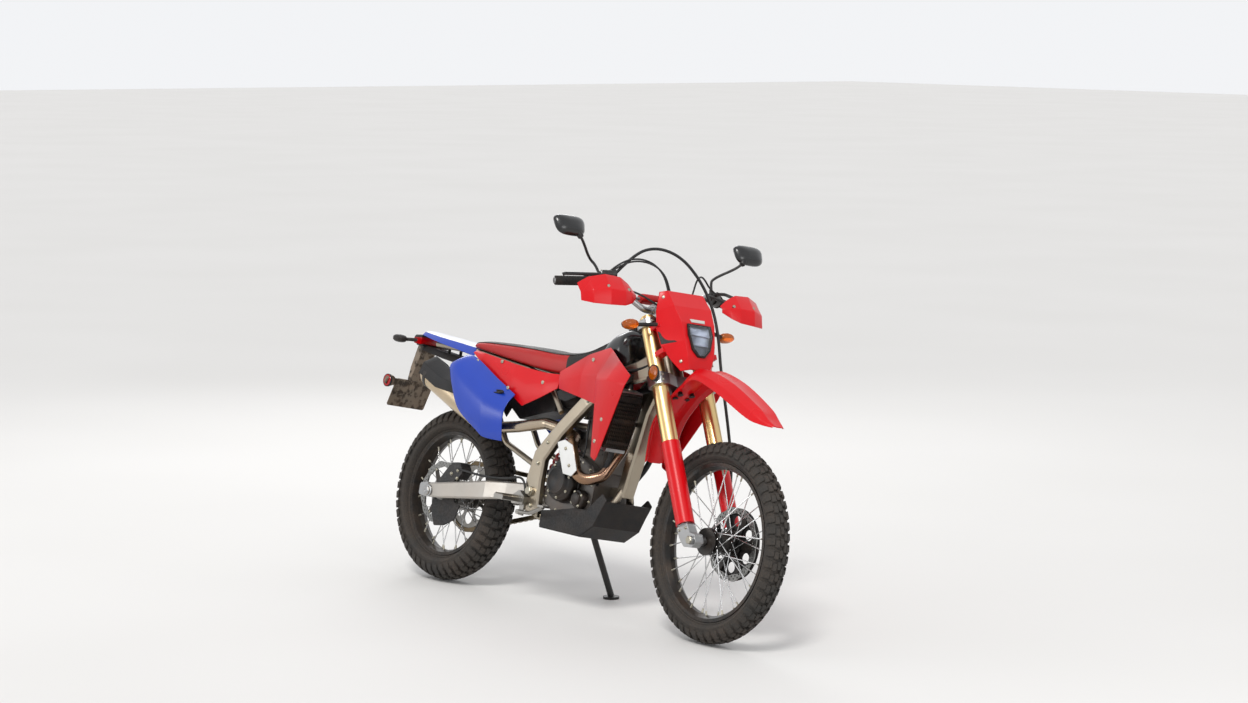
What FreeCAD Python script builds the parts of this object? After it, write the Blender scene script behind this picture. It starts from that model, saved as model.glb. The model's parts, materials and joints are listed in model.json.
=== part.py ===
import FreeCAD, Part
import math
import os

# Dual sport motorcycle, millimetres, leaning on its side stand.
# It is drawn upright first: X forward, Y to its left, Z up, rear axle above x = 0.
# Steered pieces are drawn in fork coordinates (a, y, s): a is forward of the steering
# axis and square to it, s is up along it, and both start at the point beside the axle.
# At the end the front end is steered, and the whole bike leans onto its stand.

os.makedirs("parts", exist_ok=True)
V = FreeCAD.Vector

# Chassis geometry
WHEELBASE = 1496.0
RAKE = 28.5
TRAIL = 116.0
LEAN = 11.8
STEER_AT_REST = -3.9

# Wheels, with the tyres' height from bead to lug tips and width over the lugs
FRONT_TYRE_H = 81.3
FRONT_TYRE_W = 90.0
FRONT_BEAD_R = 266.7
FRONT_RIM_W = 54.0
FRONT_HUB_R = 31.0
FRONT_FLANGE_R = 44.0
REAR_TYRE_H = 97.4
REAR_TYRE_W = 124.0
REAR_BEAD_R = 228.6
REAR_RIM_W = 70.0
REAR_HUB_R = 38.0
REAR_FLANGE_R = 56.0
FRONT_PITCHES = 27
REAR_PITCHES = 25
FRONT_LUG_H = 9.0
REAR_LUG_H = 12.0
RIM_DEPTH = 15.0
RIM_LIP = 8.0
SPOKE_R = 2.0
SPOKES_PER_SIDE = 18
AXLE_R = 10.0
RUNNING_FIT = 0.08
SEAT_GAP = 0.3
MOVING_GAP = 5.0

# Brakes
FRONT_DISC_R = 130.0
FRONT_DISC_Y = 64.0
REAR_DISC_R = 120.0
REAR_DISC_Y = -72.0
DISC_T = 4.0
DISC_BAND = 28.0

# Chain drive
CHAIN_PITCH = 15.875
REAR_TEETH = 51
DRIVE_TEETH = 13
CHAIN_Y = 82.0
CHAIN_W = 16.0
CHAIN_HALF_DEPTH = 8.0
INNER_LINK_DROP = 1.6
ROLLER_R = 2.0
DRIVE_X = 655.0
DRIVE_Z = 404.0

# Fork
FORK_Y = 102.0
FORK_A = 28.0
FORK_OUTER_R = 29.0
FORK_INNER_R = 24.5
FORK_TOP_S = 852.0
FORK_OUTER_BOTTOM_S = 330.0
STEM_R = 15.0
HEAD_PIPE_R = 30.0
HEAD_BOTTOM_S = 637.0
HEAD_TOP_S = 806.0
LOWER_CLAMP_S = 588.0
UPPER_CLAMP_S = 812.0
UPPER_CLAMP_T = 28.0

# Handlebar
BAR_R = 11.0
BAR_CLAMP_R = 14.3
GRIP_R = 17.0
GRIP_LENGTH = 118.0
GRIP_END = 4.0
GRIP_FLANGE_T = 5.0
BAR_HALF_WIDTH = 412.0

# Frame
SPAR_INNER_Y = 96.0
SPAR_T = 26.0
PIVOT_X = 590.0
PIVOT_Z = 400.0
RAIL_R = 14.0
RAIL_Y = 70.0
SUBFRAME_R = 11.0
SUBFRAME_Y = 78.0
PANEL_T = 3.5

# Side stand, drawn as it is when down
STAND_PIVOT = V(622.0, 141.0, 330.0)
STAND_PIN_R = 8.0
STAND_LEG_R = 12.0


FRONT_TYRE_R = FRONT_BEAD_R + FRONT_TYRE_H
REAR_TYRE_R = REAR_BEAD_R + REAR_TYRE_H

# Fork coordinates
rake = math.radians(RAKE)
UP = V(-math.sin(rake), 0, math.cos(rake))
AHEAD = V(math.cos(rake), 0, math.sin(rake))
LEFT = V(0, 1, 0)
REAR_AXLE = V(0, 0, REAR_TYRE_R)
FRONT_AXLE = V(WHEELBASE, 0, FRONT_TYRE_R)
AXLE_A = FRONT_TYRE_R * math.sin(rake) - TRAIL * math.cos(rake)
STEER_BASE = FRONT_AXLE - AHEAD * AXLE_A


def fork(a, y, s):
    """The upright point of fork coordinates a, y and s."""
    return STEER_BASE + AHEAD * a + LEFT * y + UP * s


def turned(shape, base, axis, degrees):
    copy = shape.copy()
    copy.rotate(base, axis, degrees)
    return copy


def mirrored(shape):
    """The same shape on the bike's other side."""
    return shape.mirror(V(0, 0, 0), LEFT)


def both_sides(shape):
    return Part.makeCompound([shape, mirrored(shape)])


def fuse(shapes):
    whole = shapes[0].fuse(shapes[1:]) if len(shapes) > 1 else shapes[0]
    return whole.removeSplitter()


def shifted(shape, move):
    copy = shape.copy()
    copy.translate(move)
    return copy


def boss(x, z, radius, outer_y, inner_y, carrier):
    """A post on a right hand cover that stops a seat's gap short of its carrier."""
    post = cross_rod(x, z, radius, -outer_y, -inner_y)
    return post.cut(shifted(carrier, LEFT * -SEAT_GAP))


def tangent_path(points, radius, closed=False):
    """A wire of straight runs through the points, with an arc at each corner."""
    count = len(points)
    starts, ends, arcs = list(points), list(points), [None] * count
    for i in range(count):
        if not closed and i in (0, count - 1):
            continue
        before, here, after = points[i - 1], points[i], points[(i + 1) % count]
        back = before - here
        forth = after - here
        shorter = min(back.Length, forth.Length)
        back.normalize()
        forth.normalize()
        turn = math.pi - back.getAngle(forth)
        if turn < 0.02:
            continue
        reach = min(radius * math.tan(turn / 2), 0.47 * shorter)
        bend = reach / math.tan(turn / 2)
        middle = back + forth
        middle.normalize()
        starts[i] = here + back * reach
        ends[i] = here + forth * reach
        arcs[i] = here + middle * (bend / math.cos(turn / 2) - bend)
    edges = []
    for i in range(count):
        if arcs[i] is not None:
            edges.append(Part.Arc(starts[i], arcs[i], ends[i]).toShape())
        last = i == count - 1
        if last and not closed:
            break
        edges.append(Part.makeLine(ends[i], starts[(i + 1) % count]))
    return Part.Wire(edges)


def tube(points, radius, bend=60.0, bore=0.0):
    """A round tube along straight runs and tangent arcs."""
    path = tangent_path(points, bend)
    direction = points[1] - points[0]

    def sweep(size):
        circle = Part.Wire(Part.makeCircle(size, points[0], direction))
        return path.makePipeShell([circle], True, False)

    solid = sweep(radius)
    return solid.cut(sweep(bore)) if bore else solid


def rod(start, end, radius):
    return Part.makeCylinder(radius, (end - start).Length, start, end - start)


def cross_rod(x, z, radius, y0, y1):
    """A cylinder across the bike."""
    return Part.makeCylinder(radius, y1 - y0, V(x, y0, z), LEFT)


def slab(outline, y0, y1, corner=0.0):
    """A plate across y0 to y1 whose side view is the outline of (x, z) points."""
    points = [V(x, y0, z) for x, z in outline]
    if corner:
        wire = tangent_path(points, corner, closed=True)
    else:
        wire = Part.makePolygon(points + points[:1])
    return Part.Face(wire).extrude(V(0, y1 - y0, 0))


def axle_slab(outline, y0, y1, corner=0.0):
    """A slab whose outline is measured from the rear axle."""
    return slab([(REAR_AXLE.x + x, REAR_AXLE.z + z) for x, z in outline], y0, y1, corner)


def fork_slab(outline, y0, y1, corner=0.0):
    """A plate across y0 to y1 whose side view is the outline of (a, s) points."""
    points = [fork(a, y0, s) for a, s in outline]
    if corner:
        wire = tangent_path(points, corner, closed=True)
    else:
        wire = Part.makePolygon(points + points[:1])
    return Part.Face(wire).extrude(V(0, y1 - y0, 0))


def fork_plate(outline, s0, s1, corner=0.0):
    """A plate from s0 to s1 along the steering axis, with an outline of (a, y) points."""
    points = [fork(a, y, s0) for a, y in outline]
    if corner:
        wire = tangent_path(points, corner, closed=True)
    else:
        wire = Part.makePolygon(points + points[:1])
    return Part.Face(wire).extrude(UP * (s1 - s0))


def loft(sections):
    """A ruled solid through closed polygons that have as many points each."""
    wires = [Part.makePolygon(section + section[:1]) for section in sections]
    return Part.makeLoft(wires, True, True)


def panel(rows, thickness):
    """A thin cover through rows of outer points, thickened towards the bike's middle."""
    sections = []
    for row in rows:
        inner = []
        for p in reversed(row):
            side = 1.0 if p.y < 0 else -1.0
            inner.append(p + LEFT * side * thickness)
        sections.append(list(row) + inner)
    return loft(sections)


def hood(rows, thickness):
    """An arched cover: each row is its top, its edge and their half widths."""
    sections = []
    for top, edge, top_half, edge_half in rows:
        down = edge - top
        inset = down * (thickness / down.Length)
        outer = [edge - LEFT * edge_half, top - LEFT * top_half,
                 top + LEFT * top_half, edge + LEFT * edge_half]
        lean = thickness * 0.8
        inner = [edge + LEFT * (edge_half - thickness), top + inset + LEFT * (top_half - lean),
                 top + inset - LEFT * (top_half - lean), edge - LEFT * (edge_half - thickness)]
        sections.append(outer + inner)
    return loft(sections)


def revolved(profile, centre):
    """A ring about the axle at centre from a closed profile of (radius, y) points."""
    points = [centre + V(0, y, r) for r, y in profile]
    face = Part.Face(Part.makePolygon(points + points[:1]))
    return face.revolve(centre, LEFT, 360)


# Wheels

def crown_radius(width):
    """The round of a tyre's tread across its width."""
    return 0.56 * width


def tyre(centre, radius, width, bead_r, rim_w, lug_h, pitches):
    """A ring of straight lengths, each with a middle lug and two shoulder lugs, all flat faced."""
    step = 2 * math.pi / pitches
    crown = crown_radius(width)
    bead, lip_r, lip_y = bead_r + SEAT_GAP, bead_r + RIM_LIP + SEAT_GAP, rim_w / 2 - 5.0 - SEAT_GAP
    middle_y, edge_y, wall_y = width * 0.22, width / 2 - 4.0, width / 2 - 5.0

    def tread_r(y, depth):
        return radius - depth - crown + math.sqrt(crown ** 2 - y ** 2)

    half = [(bead, lip_y), (lip_r, lip_y), ((lip_r + tread_r(edge_y, lug_h)) / 2, wall_y),
            (tread_r(edge_y, lug_h), edge_y)]
    profile = half + [(radius - lug_h, 0.0)] + [(r, -y) for r, y in reversed(half)]

    def at(r, y, angle, along=0.0):
        return centre + V(r * math.sin(angle) + along * math.cos(angle), y,
                          r * math.cos(angle) - along * math.sin(angle))

    corner = 1.0 / math.cos(step / 2)
    faces = []
    for i in range(pitches):
        for j, (r0, y0) in enumerate(profile):
            r1, y1 = profile[(j + 1) % len(profile)]
            ring = [at(r0 * corner, y0, step * i), at(r0 * corner, y0, step * (i + 1)),
                    at(r1 * corner, y1, step * (i + 1)), at(r1 * corner, y1, step * i)]
            faces.append(Part.Face(Part.makePolygon(ring + ring[:1])))
    shell = Part.makeShell(faces)
    shell.sewShape()
    carcass = Part.makeSolid(shell)

    sunk = lug_h + 4.0
    middle_lug = [(middle_y, radius - 2 * sunk), (middle_y, radius), (-middle_y, radius),
                  (-middle_y, radius - 2 * sunk)]
    inner_y = middle_y + 3.0
    side_lug = [(inner_y, tread_r(inner_y, 2 * sunk)), (inner_y, tread_r(inner_y, 0.0)),
                (width / 2, tread_r(width / 2, 0.0)), (edge_y - 5.0, tread_r(edge_y, sunk + 6.0))]
    pitch = step * radius
    blocks = []
    for i in range(pitches):
        angle = step * (i + 0.5)
        for outline, start, share in ((middle_lug, -0.03, 0.5), (side_lug, -0.47, 0.54),
                                      ([(-y, r) for y, r in side_lug], -0.47, 0.54)):
            ring = [at(r, y, angle, start * pitch) for y, r in outline]
            tangent = at(0, 0, angle, share * pitch) - centre
            blocks.append(Part.Face(Part.makePolygon(ring + ring[:1])).extrude(tangent))
    return carcass.fuse(blocks)


def rim(centre, bead_r, width):
    half = width / 2
    profile = [
        (bead_r - RIM_DEPTH, -half * 0.35), (bead_r - RIM_DEPTH, half * 0.35),
        (bead_r - 4.0, half), (bead_r + RIM_LIP, half), (bead_r + RIM_LIP, half - 4.0),
        (bead_r, half - 5.0), (bead_r, 5.0 - half),
        (bead_r + RIM_LIP, 4.0 - half), (bead_r + RIM_LIP, -half), (bead_r - 4.0, -half),
    ]
    return revolved(profile, centre)


def hub(centre, barrel_r, flange_r, flange_y, left_y, right_y):
    """A spool with two spoke flanges and a mounting face at each end, bored for its axle."""
    bore, mount_r, mount_t = AXLE_R + RUNNING_FIT, flange_r + 3.0, 8.0
    profile = [
        (bore, -right_y), (mount_r, -right_y), (mount_r, mount_t - right_y),
        (barrel_r, 4.0 + mount_t - right_y), (barrel_r, -flange_y - 5.0),
        (flange_r, -flange_y - 4.0), (flange_r, 4.0 - flange_y), (barrel_r, 6.0 - flange_y),
        (barrel_r * 0.85, 0.0), (barrel_r, flange_y - 6.0), (flange_r, flange_y - 4.0),
        (flange_r, flange_y + 4.0), (barrel_r, flange_y + 5.0), (barrel_r, left_y - mount_t - 4.0),
        (mount_r, left_y - mount_t), (mount_r, left_y), (bore, left_y),
    ]
    return revolved(profile, centre)


def spokes(centre, flange_r, flange_y, rim_r, rim_y, hub_and_rim):
    """Laced spokes, crossing in pairs from each flange to the rim."""
    lace = 52.0
    solids = []
    for side in (-1, 1):
        for i in range(SPOKES_PER_SIDE):
            turn = 1 if i % 2 else -1
            at_rim = math.radians((i + (0.5 if side > 0 else 0.0)) * 360.0 / SPOKES_PER_SIDE)
            at_hub = at_rim + math.radians(turn * lace)
            lift = 2.6 * turn
            hub_r = flange_r - 6.0
            start = centre + V(hub_r * math.sin(at_hub), side * flange_y + lift,
                               hub_r * math.cos(at_hub))
            end = centre + V(rim_r * math.sin(at_rim), side * rim_y + 0.25 * lift,
                             rim_r * math.cos(at_rim))
            solids.append(six_sided(start, end, SPOKE_R).cut(hub_and_rim))
    return Part.makeCompound(solids)


def six_sided(start, end, radius):
    """A slender bar with six flats, as large as a round one of this radius."""
    along = end - start
    length = along.Length
    along.normalize()
    across = along.cross(LEFT)
    across.normalize()
    other = along.cross(across)
    size = radius * 1.05
    ring = []
    for i in range(6):
        angle = math.radians(60 * i)
        ring.append(start + across * size * math.cos(angle) + other * size * math.sin(angle))
    return Part.Face(Part.makePolygon(ring + ring[:1])).extrude(along * length)


def brake_disc(centre, radius, y, inner_y, bolt_r):
    """A floating band with arms to its hub mount, y to the middle of the band."""
    band = Part.makeCylinder(radius, DISC_T, centre + V(0, y - DISC_T / 2, 0), LEFT)
    band = band.cut(Part.makeCylinder(radius - DISC_BAND, DISC_T,
                                      centre + V(0, y - DISC_T / 2, 0), LEFT))
    arms = []
    for i in range(6):
        arm = Part.makeBox(14.0, DISC_T, radius - bolt_r - 8.0)
        arm.translate(centre + V(-7.0, y - DISC_T / 2, bolt_r - 4.0))
        arms.append(turned(arm, centre, LEFT, 60.0 * i + 20.0))
    low, high = sorted((inner_y, y + DISC_T / 2 if y > 0 else y - DISC_T / 2))
    boss = Part.makeCylinder(bolt_r + 4.0, high - low, centre + V(0, low, 0), LEFT)
    boss = boss.cut(Part.makeCylinder(bolt_r - 10.0, high - low, centre + V(0, low, 0), LEFT))
    return fuse([band, boss] + arms)


def pitch_radius(teeth):
    return CHAIN_PITCH / (2 * math.sin(math.pi / teeth))


def sprocket(centre, teeth, y, thickness, bore_r, windows, tip_gap):
    """A chain wheel whose teeth end a gap inside the pitch circle."""
    root = pitch_radius(teeth) - 9.5
    tip = pitch_radius(teeth) - tip_gap
    points = []
    for i in range(teeth):
        for share, r in ((0.0, root), (0.3, root), (0.5, tip), (0.7, root)):
            angle = 2 * math.pi * (i + share) / teeth
            points.append(centre + V(r * math.sin(angle), y - thickness / 2, r * math.cos(angle)))
    plate = Part.Face(Part.makePolygon(points + points[:1])).extrude(V(0, thickness, 0))
    cuts = [Part.makeCylinder(bore_r, thickness, centre + V(0, y - thickness / 2, 0), LEFT)]
    for i in range(windows):
        hole = Part.makeCylinder((root - bore_r) * 0.3, thickness,
                                 centre + V(0, y - thickness / 2, (root + bore_r) * 0.52), LEFT)
        cuts.append(turned(hole, centre, LEFT, 360.0 * i / windows))
    return plate.cut(cuts)


def chain_course():
    """The chain's pitch line as a function of the way along it, and its length."""
    r0, r1 = pitch_radius(REAR_TEETH), pitch_radius(DRIVE_TEETH)
    gap = math.hypot(DRIVE_X - REAR_AXLE.x, DRIVE_Z - REAR_AXLE.z)
    slope = math.atan2(DRIVE_Z - REAR_AXLE.z, DRIVE_X - REAR_AXLE.x)
    spread = math.acos((r0 - r1) / gap)
    run = gap * math.sin(spread)
    front, rear = 2 * spread * r1, (2 * math.pi - 2 * spread) * r0

    def at(way):
        """The point, its outward direction and whether it lies round a sprocket."""
        for x, z, r, start, straight, arc in (
                (REAR_AXLE.x, REAR_AXLE.z, r0, slope + spread, run, 0.0),
                (DRIVE_X, DRIVE_Z, r1, slope + spread, 0.0, front),
                (DRIVE_X, DRIVE_Z, r1, slope - spread, run, 0.0),
                (REAR_AXLE.x, REAR_AXLE.z, r0, slope - spread, 0.0, rear)):
            if way < straight + arc:
                turn = way / r if arc else 0.0
                out = V(math.cos(start - turn), 0, math.sin(start - turn))
                ahead = V(out.z, 0, -out.x) * (0.0 if arc else way)
                return V(x, CHAIN_Y, z) + out * r + ahead, out, bool(arc)
            way -= straight + arc
        return at(way)

    return at, 2 * run + front + rear


def make_chain():
    """One closed loop of outer and inner links, hollow inside for the sprockets' teeth."""
    at, length = chain_course()
    links = 2 * round(length / CHAIN_PITCH / 2)
    step = length / links

    def loop(offsets, y0, y1, every_link):
        """A plate across the chain, of (share of a link, offset) points for each link."""
        points = []
        for i in range(links):
            for share, offset in offsets(i):
                point, out, round_sprocket = at((i + share) * step)
                if every_link or round_sprocket or at((i + share + 1) * step)[2] or at((i + share - 1) * step)[2]:
                    points.append(point + out * offset + LEFT * y0)
        return Part.Face(Part.makePolygon(points + points[:1])).extrude(LEFT * (y1 - y0))

    def links_outline(i):
        depth = CHAIN_HALF_DEPTH - (INNER_LINK_DROP if i % 2 else 0.0)
        return (0.08, depth), (0.92, depth)

    half = CHAIN_W / 2
    band = loop(links_outline, -half, half, True)
    band = band.cut(loop(lambda i: ((0.0, -CHAIN_HALF_DEPTH),), -half, half, False))
    slot = half - 3.0
    return band.cut(loop(lambda i: ((0.0, -ROLLER_R), (0.5, -ROLLER_R)), -slot, slot, False))


# Frame

SPAR_ROWS = [
    # upper x, upper z, lower x, lower z, inner y, outer y
    (1064, 989, 1110, 903, 8, 29),
    (1000, 925, 1030, 856, 52, 78),
    (888, 866, 912, 814, 84, 112),
    (787, 773, 825, 733, SPAR_INNER_Y, SPAR_INNER_Y + SPAR_T),
    (671, 660, 709, 620, SPAR_INNER_Y, SPAR_INNER_Y + SPAR_T),
    (572, 548, 634, 520, SPAR_INNER_Y, SPAR_INNER_Y + SPAR_T),
    (548, 440, 632, 440, SPAR_INNER_Y, SPAR_INNER_Y + SPAR_T),
    (558, 332, 640, 310, SPAR_INNER_Y, SPAR_INNER_Y + SPAR_T),
]
SPAR_CHAMFER = 7.0
HEAD_HALF = 70.0
CROSS_TUBE_X = 690.0
CROSS_TUBE_Z = 664.0


def spar(side):
    sections = []
    for ux, uz, lx, lz, y_in, y_out in SPAR_ROWS:
        up, low = V(ux, 0, uz), V(lx, 0, lz)
        down = low - up
        down.normalize()
        c = SPAR_CHAMFER
        section = [(up, y_in), (up, y_out - c), (up + down * c, y_out),
                   (low - down * c, y_out), (low, y_out - c), (low, y_in)]
        sections.append([p + LEFT * side * y for p, y in section])
    return loft(sections)


def stand_axis():
    axis = V(0, 0.944, 0.330)
    axis.normalize()
    return axis


def engine_hangers():
    """Plates under the spars that hold the cylinder head by a bolt on each side."""
    plates = []
    for side in (-1, 1):
        low, high = sorted((side * 86, side * 96))
        plates.append(slab([(838, 822), (905, 846), (912, 812), (884, 762), (858, 752), (842, 770)],
                           low, high, 6.0))
        low, high = sorted((side * (HEAD_HALF + SEAT_GAP), side * 99))
        plates.append(cross_rod(862, 774, 11.0, low, high))
    return plates


def make_frame():
    head = rod(fork(0, 0, HEAD_BOTTOM_S), fork(0, 0, HEAD_TOP_S), HEAD_PIPE_R)
    bore = rod(fork(0, 0, HEAD_BOTTOM_S), fork(0, 0, HEAD_TOP_S), STEM_R + RUNNING_FIT)
    y = SPAR_INNER_Y + SPAR_T
    upper = cross_rod(CROSS_TUBE_X, CROSS_TUBE_Z, 12.0, -SPAR_INNER_Y - 5, SPAR_INNER_Y + 5)
    pivot = cross_rod(PIVOT_X, PIVOT_Z, 9.0, -y - 6, y + 6)
    nuts = [cross_rod(PIVOT_X, PIVOT_Z, 17.0, y, y + 7), cross_rod(PIVOT_X, PIVOT_Z, 17.0, -y - 7, -y)]
    axis = stand_axis()
    lug = Part.makeCylinder(19.0, 10.0, STAND_PIVOT - axis * 17.0, axis)
    arm = rod(V(STAND_PIVOT.x, SPAR_INNER_Y + 10, STAND_PIVOT.z + 10), STAND_PIVOT - axis * 14.0, 14.0)
    arm = arm.cut(Part.makeCylinder(60.0, 40.0, STAND_PIVOT - axis * 7.0, axis))
    pin = Part.makeCylinder(STAND_PIN_R, 24.0, STAND_PIVOT - axis * 14.0, axis)
    frame = fuse([head, spar(-1), spar(1), upper, pivot] + nuts + [lug, arm, pin] + engine_hangers())
    return frame.cut(bore)


def down_tube():
    """A box section from the head pipe down before the engine."""
    rows = [
        # centre line, half width, half depth
        (fork(-8, 0, 700), 22.0, 21.0),
        (V(1026, 0, 748), 29.0, 24.0),
        (V(998, 0, 598), 31.0, 26.0),
        (V(969, 0, 440), 29.0, 22.0),
    ]
    sections = []
    for i, (centre, wide, deep) in enumerate(rows):
        along = rows[min(i + 1, len(rows) - 1)][0] - rows[max(i - 1, 0)][0]
        across = along.cross(LEFT)
        across.normalize()
        c = 8.0
        sections.append([centre + LEFT * y + across * d for y, d in (
            (wide, deep - c), (wide - c, deep), (c - wide, deep), (-wide, deep - c),
            (-wide, c - deep), (c - wide, -deep), (wide - c, -deep), (wide, c - deep))])
    return loft(sections)


def make_cradle(frame, cases):
    down = down_tube()
    rails = []
    for side in (-1, 1):
        rails.append(tube([V(978, side * 6, 486), V(962, side * 38, 412), V(910, side * RAIL_Y, 324),
                           V(690, side * RAIL_Y, 300), V(614, side * (SPAR_INNER_Y + 2), 320)],
                          RAIL_R, 45.0))
    head = rod(fork(0, 0, HEAD_BOTTOM_S), fork(0, 0, HEAD_TOP_S), HEAD_PIPE_R)
    front_lug = slab([(890, 430), (890, 462), (960, 470), (960, 434)], -16, 16)
    lugs = [front_lug.cut(shifted(cases, V(SEAT_GAP, 0, 0)))]
    for side in (-1, 1):
        low_lug = slab([(748, 312), (752, 340), (788, 340), (794, 314)], side * RAIL_Y - 9, side * RAIL_Y + 9)
        lugs.append(low_lug.cut(shifted(cases, V(0, 0, -SEAT_GAP))))
    return fuse([down] + rails + lugs).cut([frame, head])


def make_subframe(frame):
    tubes = []
    for side in (-1, 1):
        tubes.append(tube([V(668, side * 104, 700), V(560, side * 88, 800), V(417, side * SUBFRAME_Y, 840),
                           V(130, side * (SUBFRAME_Y - 8), 871), V(-190, side * 56, 880)],
                          SUBFRAME_R, 60.0))
        tubes.append(tube([V(596, side * 104, 486), V(350, side * 80, 556), V(120, side * 70, 862)],
                          SUBFRAME_R, 60.0))
    for x, z, half in ((500, 820, 80), (60, 873, 66), (-150, 879, 58)):
        tubes.append(cross_rod(x, z, 8.0, -half, half))
    return fuse(tubes).cut(frame)


# Engine

CASE_HALF = 94.0
NOTCH_Y = 64.0
CLUTCH_X, CLUTCH_Z, CLUTCH_R, CLUTCH_Y = 753.0, 457.0, 76.0, 150.0
IGNITION_X, IGNITION_Z, IGNITION_R, IGNITION_Y = 812.0, 452.0, 60.0, 130.0
HEAD_OUTLET = V(888, 0, 738)


def make_engine_cases():
    outline = [(632, 376), (646, 470), (700, 562), (772, 566), (880, 528), (905, 470), (900, 385),
               (862, 336), (702, 336)]
    cases = slab(outline, -CASE_HALF, CASE_HALF, 22.0)
    notch = Part.makeBox(120, 40, 140, V(600, NOTCH_Y, 334))
    shaft = cross_rod(DRIVE_X, DRIVE_Z, 12.0, 50, CHAIN_Y + 8)
    drive = sprocket(V(DRIVE_X, 0, DRIVE_Z), DRIVE_TEETH, CHAIN_Y, 6.0, 10.0, 0, ROLLER_R + SEAT_GAP)
    return fuse([cases.cut(notch), shaft, drive])


def round_cover(x, z, radius, y0, y1):
    """A shallow dome of a side cover, y0 on the case and y1 outside."""
    step = y1 - y0
    profile = [(0, y0), (radius, y0), (radius, y0 + step * 0.62), (radius * 0.9, y0 + step * 0.8),
               (radius * 0.62, y0 + step * 0.84), (radius * 0.58, y1), (0, y1)]
    return revolved(profile, V(x, 0, z))


def make_clutch_cover():
    cover = round_cover(CLUTCH_X, CLUTCH_Z, CLUTCH_R, -CASE_HALF, -CLUTCH_Y)
    pump = round_cover(CLUTCH_X + 98, CLUTCH_Z - 52, 34.0, -CASE_HALF, -CLUTCH_Y + 18)
    return fuse([cover, pump])


def make_ignition_cover():
    return round_cover(IGNITION_X, IGNITION_Z, IGNITION_R, CASE_HALF, IGNITION_Y)


def make_cylinder(cases):
    barrel = slab([(776, 520), (770, 690), (884, 700), (890, 505)], -60, 60, 8.0)
    return barrel.cut(cases)


def make_cylinder_head():
    head = slab([(760, 690.3), (754, 766), (792, 806), (868, 806), (898, 770), (894, 702)],
                -HEAD_HALF, HEAD_HALF, 8.0)
    cover = slab([(772, 790), (790, 822), (862, 822), (876, 790)], -58, 58, 8.0)
    return fuse([head, cover])


HEADER_POINTS = [
    (888, 0, 738), (948, -8, 716), (948, -34, 600), (940, -92, 500), (902, -136, 476),
    (862, -150, 490), (804, -146, 590), (728, -72, 618), (650, -60, 640), (545, -64, 652),
    (440, -108, 622), (335, -142, 602),
]
HEADER_R = 21.0
SILENCER_FRONT = V(335, -142, 602)
SILENCER_REAR = V(-84, -152, 776)
SILENCER_FRONT_R = 42.0
SILENCER_R = 56.0


def make_header_pipe(head, silencer):
    pipe = tube([V(*p) for p in HEADER_POINTS], HEADER_R, 50.0)
    y = HEADER_POINTS[5][1] - HEADER_R
    shield = slab([(762, 594), (800, 606), (848, 592), (890, 506), (868, 484), (822, 488)], y - 4.0, y - 1.5, 8.0)
    posts = [cross_rod(x, z, 6.0, y - 3.0, y + 12.0) for x, z in ((845, 518), (812, 576))]
    return fuse([pipe, shield] + posts).cut([head, silencer])


def make_silencer():
    along = SILENCER_REAR - SILENCER_FRONT
    length = along.Length
    profile = [(0, HEADER_R + 3), (22, SILENCER_FRONT_R), (length * 0.45, SILENCER_R - 3),
               (length - 40, SILENCER_R), (length - 38, SILENCER_R + 2), (length - 8, SILENCER_R + 2),
               (length, SILENCER_R - 8), (length, 20), (length - 60, 20), (length - 60, 0), (0, 0)]
    side = along.cross(V(0, 0, 1))
    side.normalize()
    along.normalize()
    points = [SILENCER_FRONT + along * t + side * r for t, r in profile]
    face = Part.Face(Part.makePolygon(points + points[:1]))
    return face.revolve(SILENCER_FRONT, along, 360)


# Suspension and drive carriers

SWINGARM_ROWS = [
    # x, top z, bottom z, inner y, outer y
    (600, 424, 378, 58, 91),
    (520, 424, 372, 62, 94),
    (440, 417, 352, 86, 118),
    (335, 406, 338, 102, 133),
    (60, REAR_AXLE.z + 39, REAR_AXLE.z - 20, 104, 134),
    (-44, REAR_AXLE.z + 26, REAR_AXLE.z - 22, 106, 132),
]
PIVOT_TUBE_R = 28.0


def make_swingarm():
    arms = []
    for side in (-1, 1):
        rows = []
        for x, top, low, y_in, y_out in SWINGARM_ROWS:
            c = 6.0
            section = [(y_in, top), (y_out - c, top), (y_out, top - c), (y_out, low + c),
                       (y_out - c, low), (y_in, low)]
            rows.append([V(x, side * y, z) for y, z in section])
        arms.append(loft(rows))
    pivot = cross_rod(PIVOT_X, PIVOT_Z, PIVOT_TUBE_R, -SPAR_INNER_Y + 1, SPAR_INNER_Y - 1)
    bridge = slab([(412, 352), (412, 404), (462, 412), (478, 378), (462, 352)], -96, 96, 8.0)
    link = slab([(456, 354), (540, 352), (545, 380), (512, 392), (462, 392)], -20, 20, 6.0)
    ties = [slab([(455, 360), (520, 362), (560, 380), (560, 415), (455, 400)], s, s + 8, 4.0)
            for s in (-44, 36)]
    arm = fuse(arms + [pivot, bridge, link] + ties)
    bores = [cross_rod(PIVOT_X, PIVOT_Z, 9.0 + SEAT_GAP, -SPAR_INNER_Y, SPAR_INNER_Y),
             cross_rod(REAR_AXLE.x, REAR_AXLE.z, AXLE_R + SEAT_GAP, -150, 150)]
    return arm.cut(bores)


def make_rear_axle():
    x, z = REAR_AXLE.x, REAR_AXLE.z
    y = SWINGARM_ROWS[-2][4] + SEAT_GAP
    inner = SWINGARM_ROWS[-2][3] - SEAT_GAP
    parts = [cross_rod(x, z, AXLE_R, -y - 10, y + 10),
             cross_rod(x, z, 17.0, y, y + 9), cross_rod(x, z, 17.0, -y - 9, -y),
             cross_rod(x, z, 15.0, CHAIN_Y + 3.0 + MOVING_GAP, inner),
             cross_rod(x, z, 15.0, -inner, REAR_DISC_Y - DISC_T / 2 - MOVING_GAP)]
    return fuse(parts)


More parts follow.
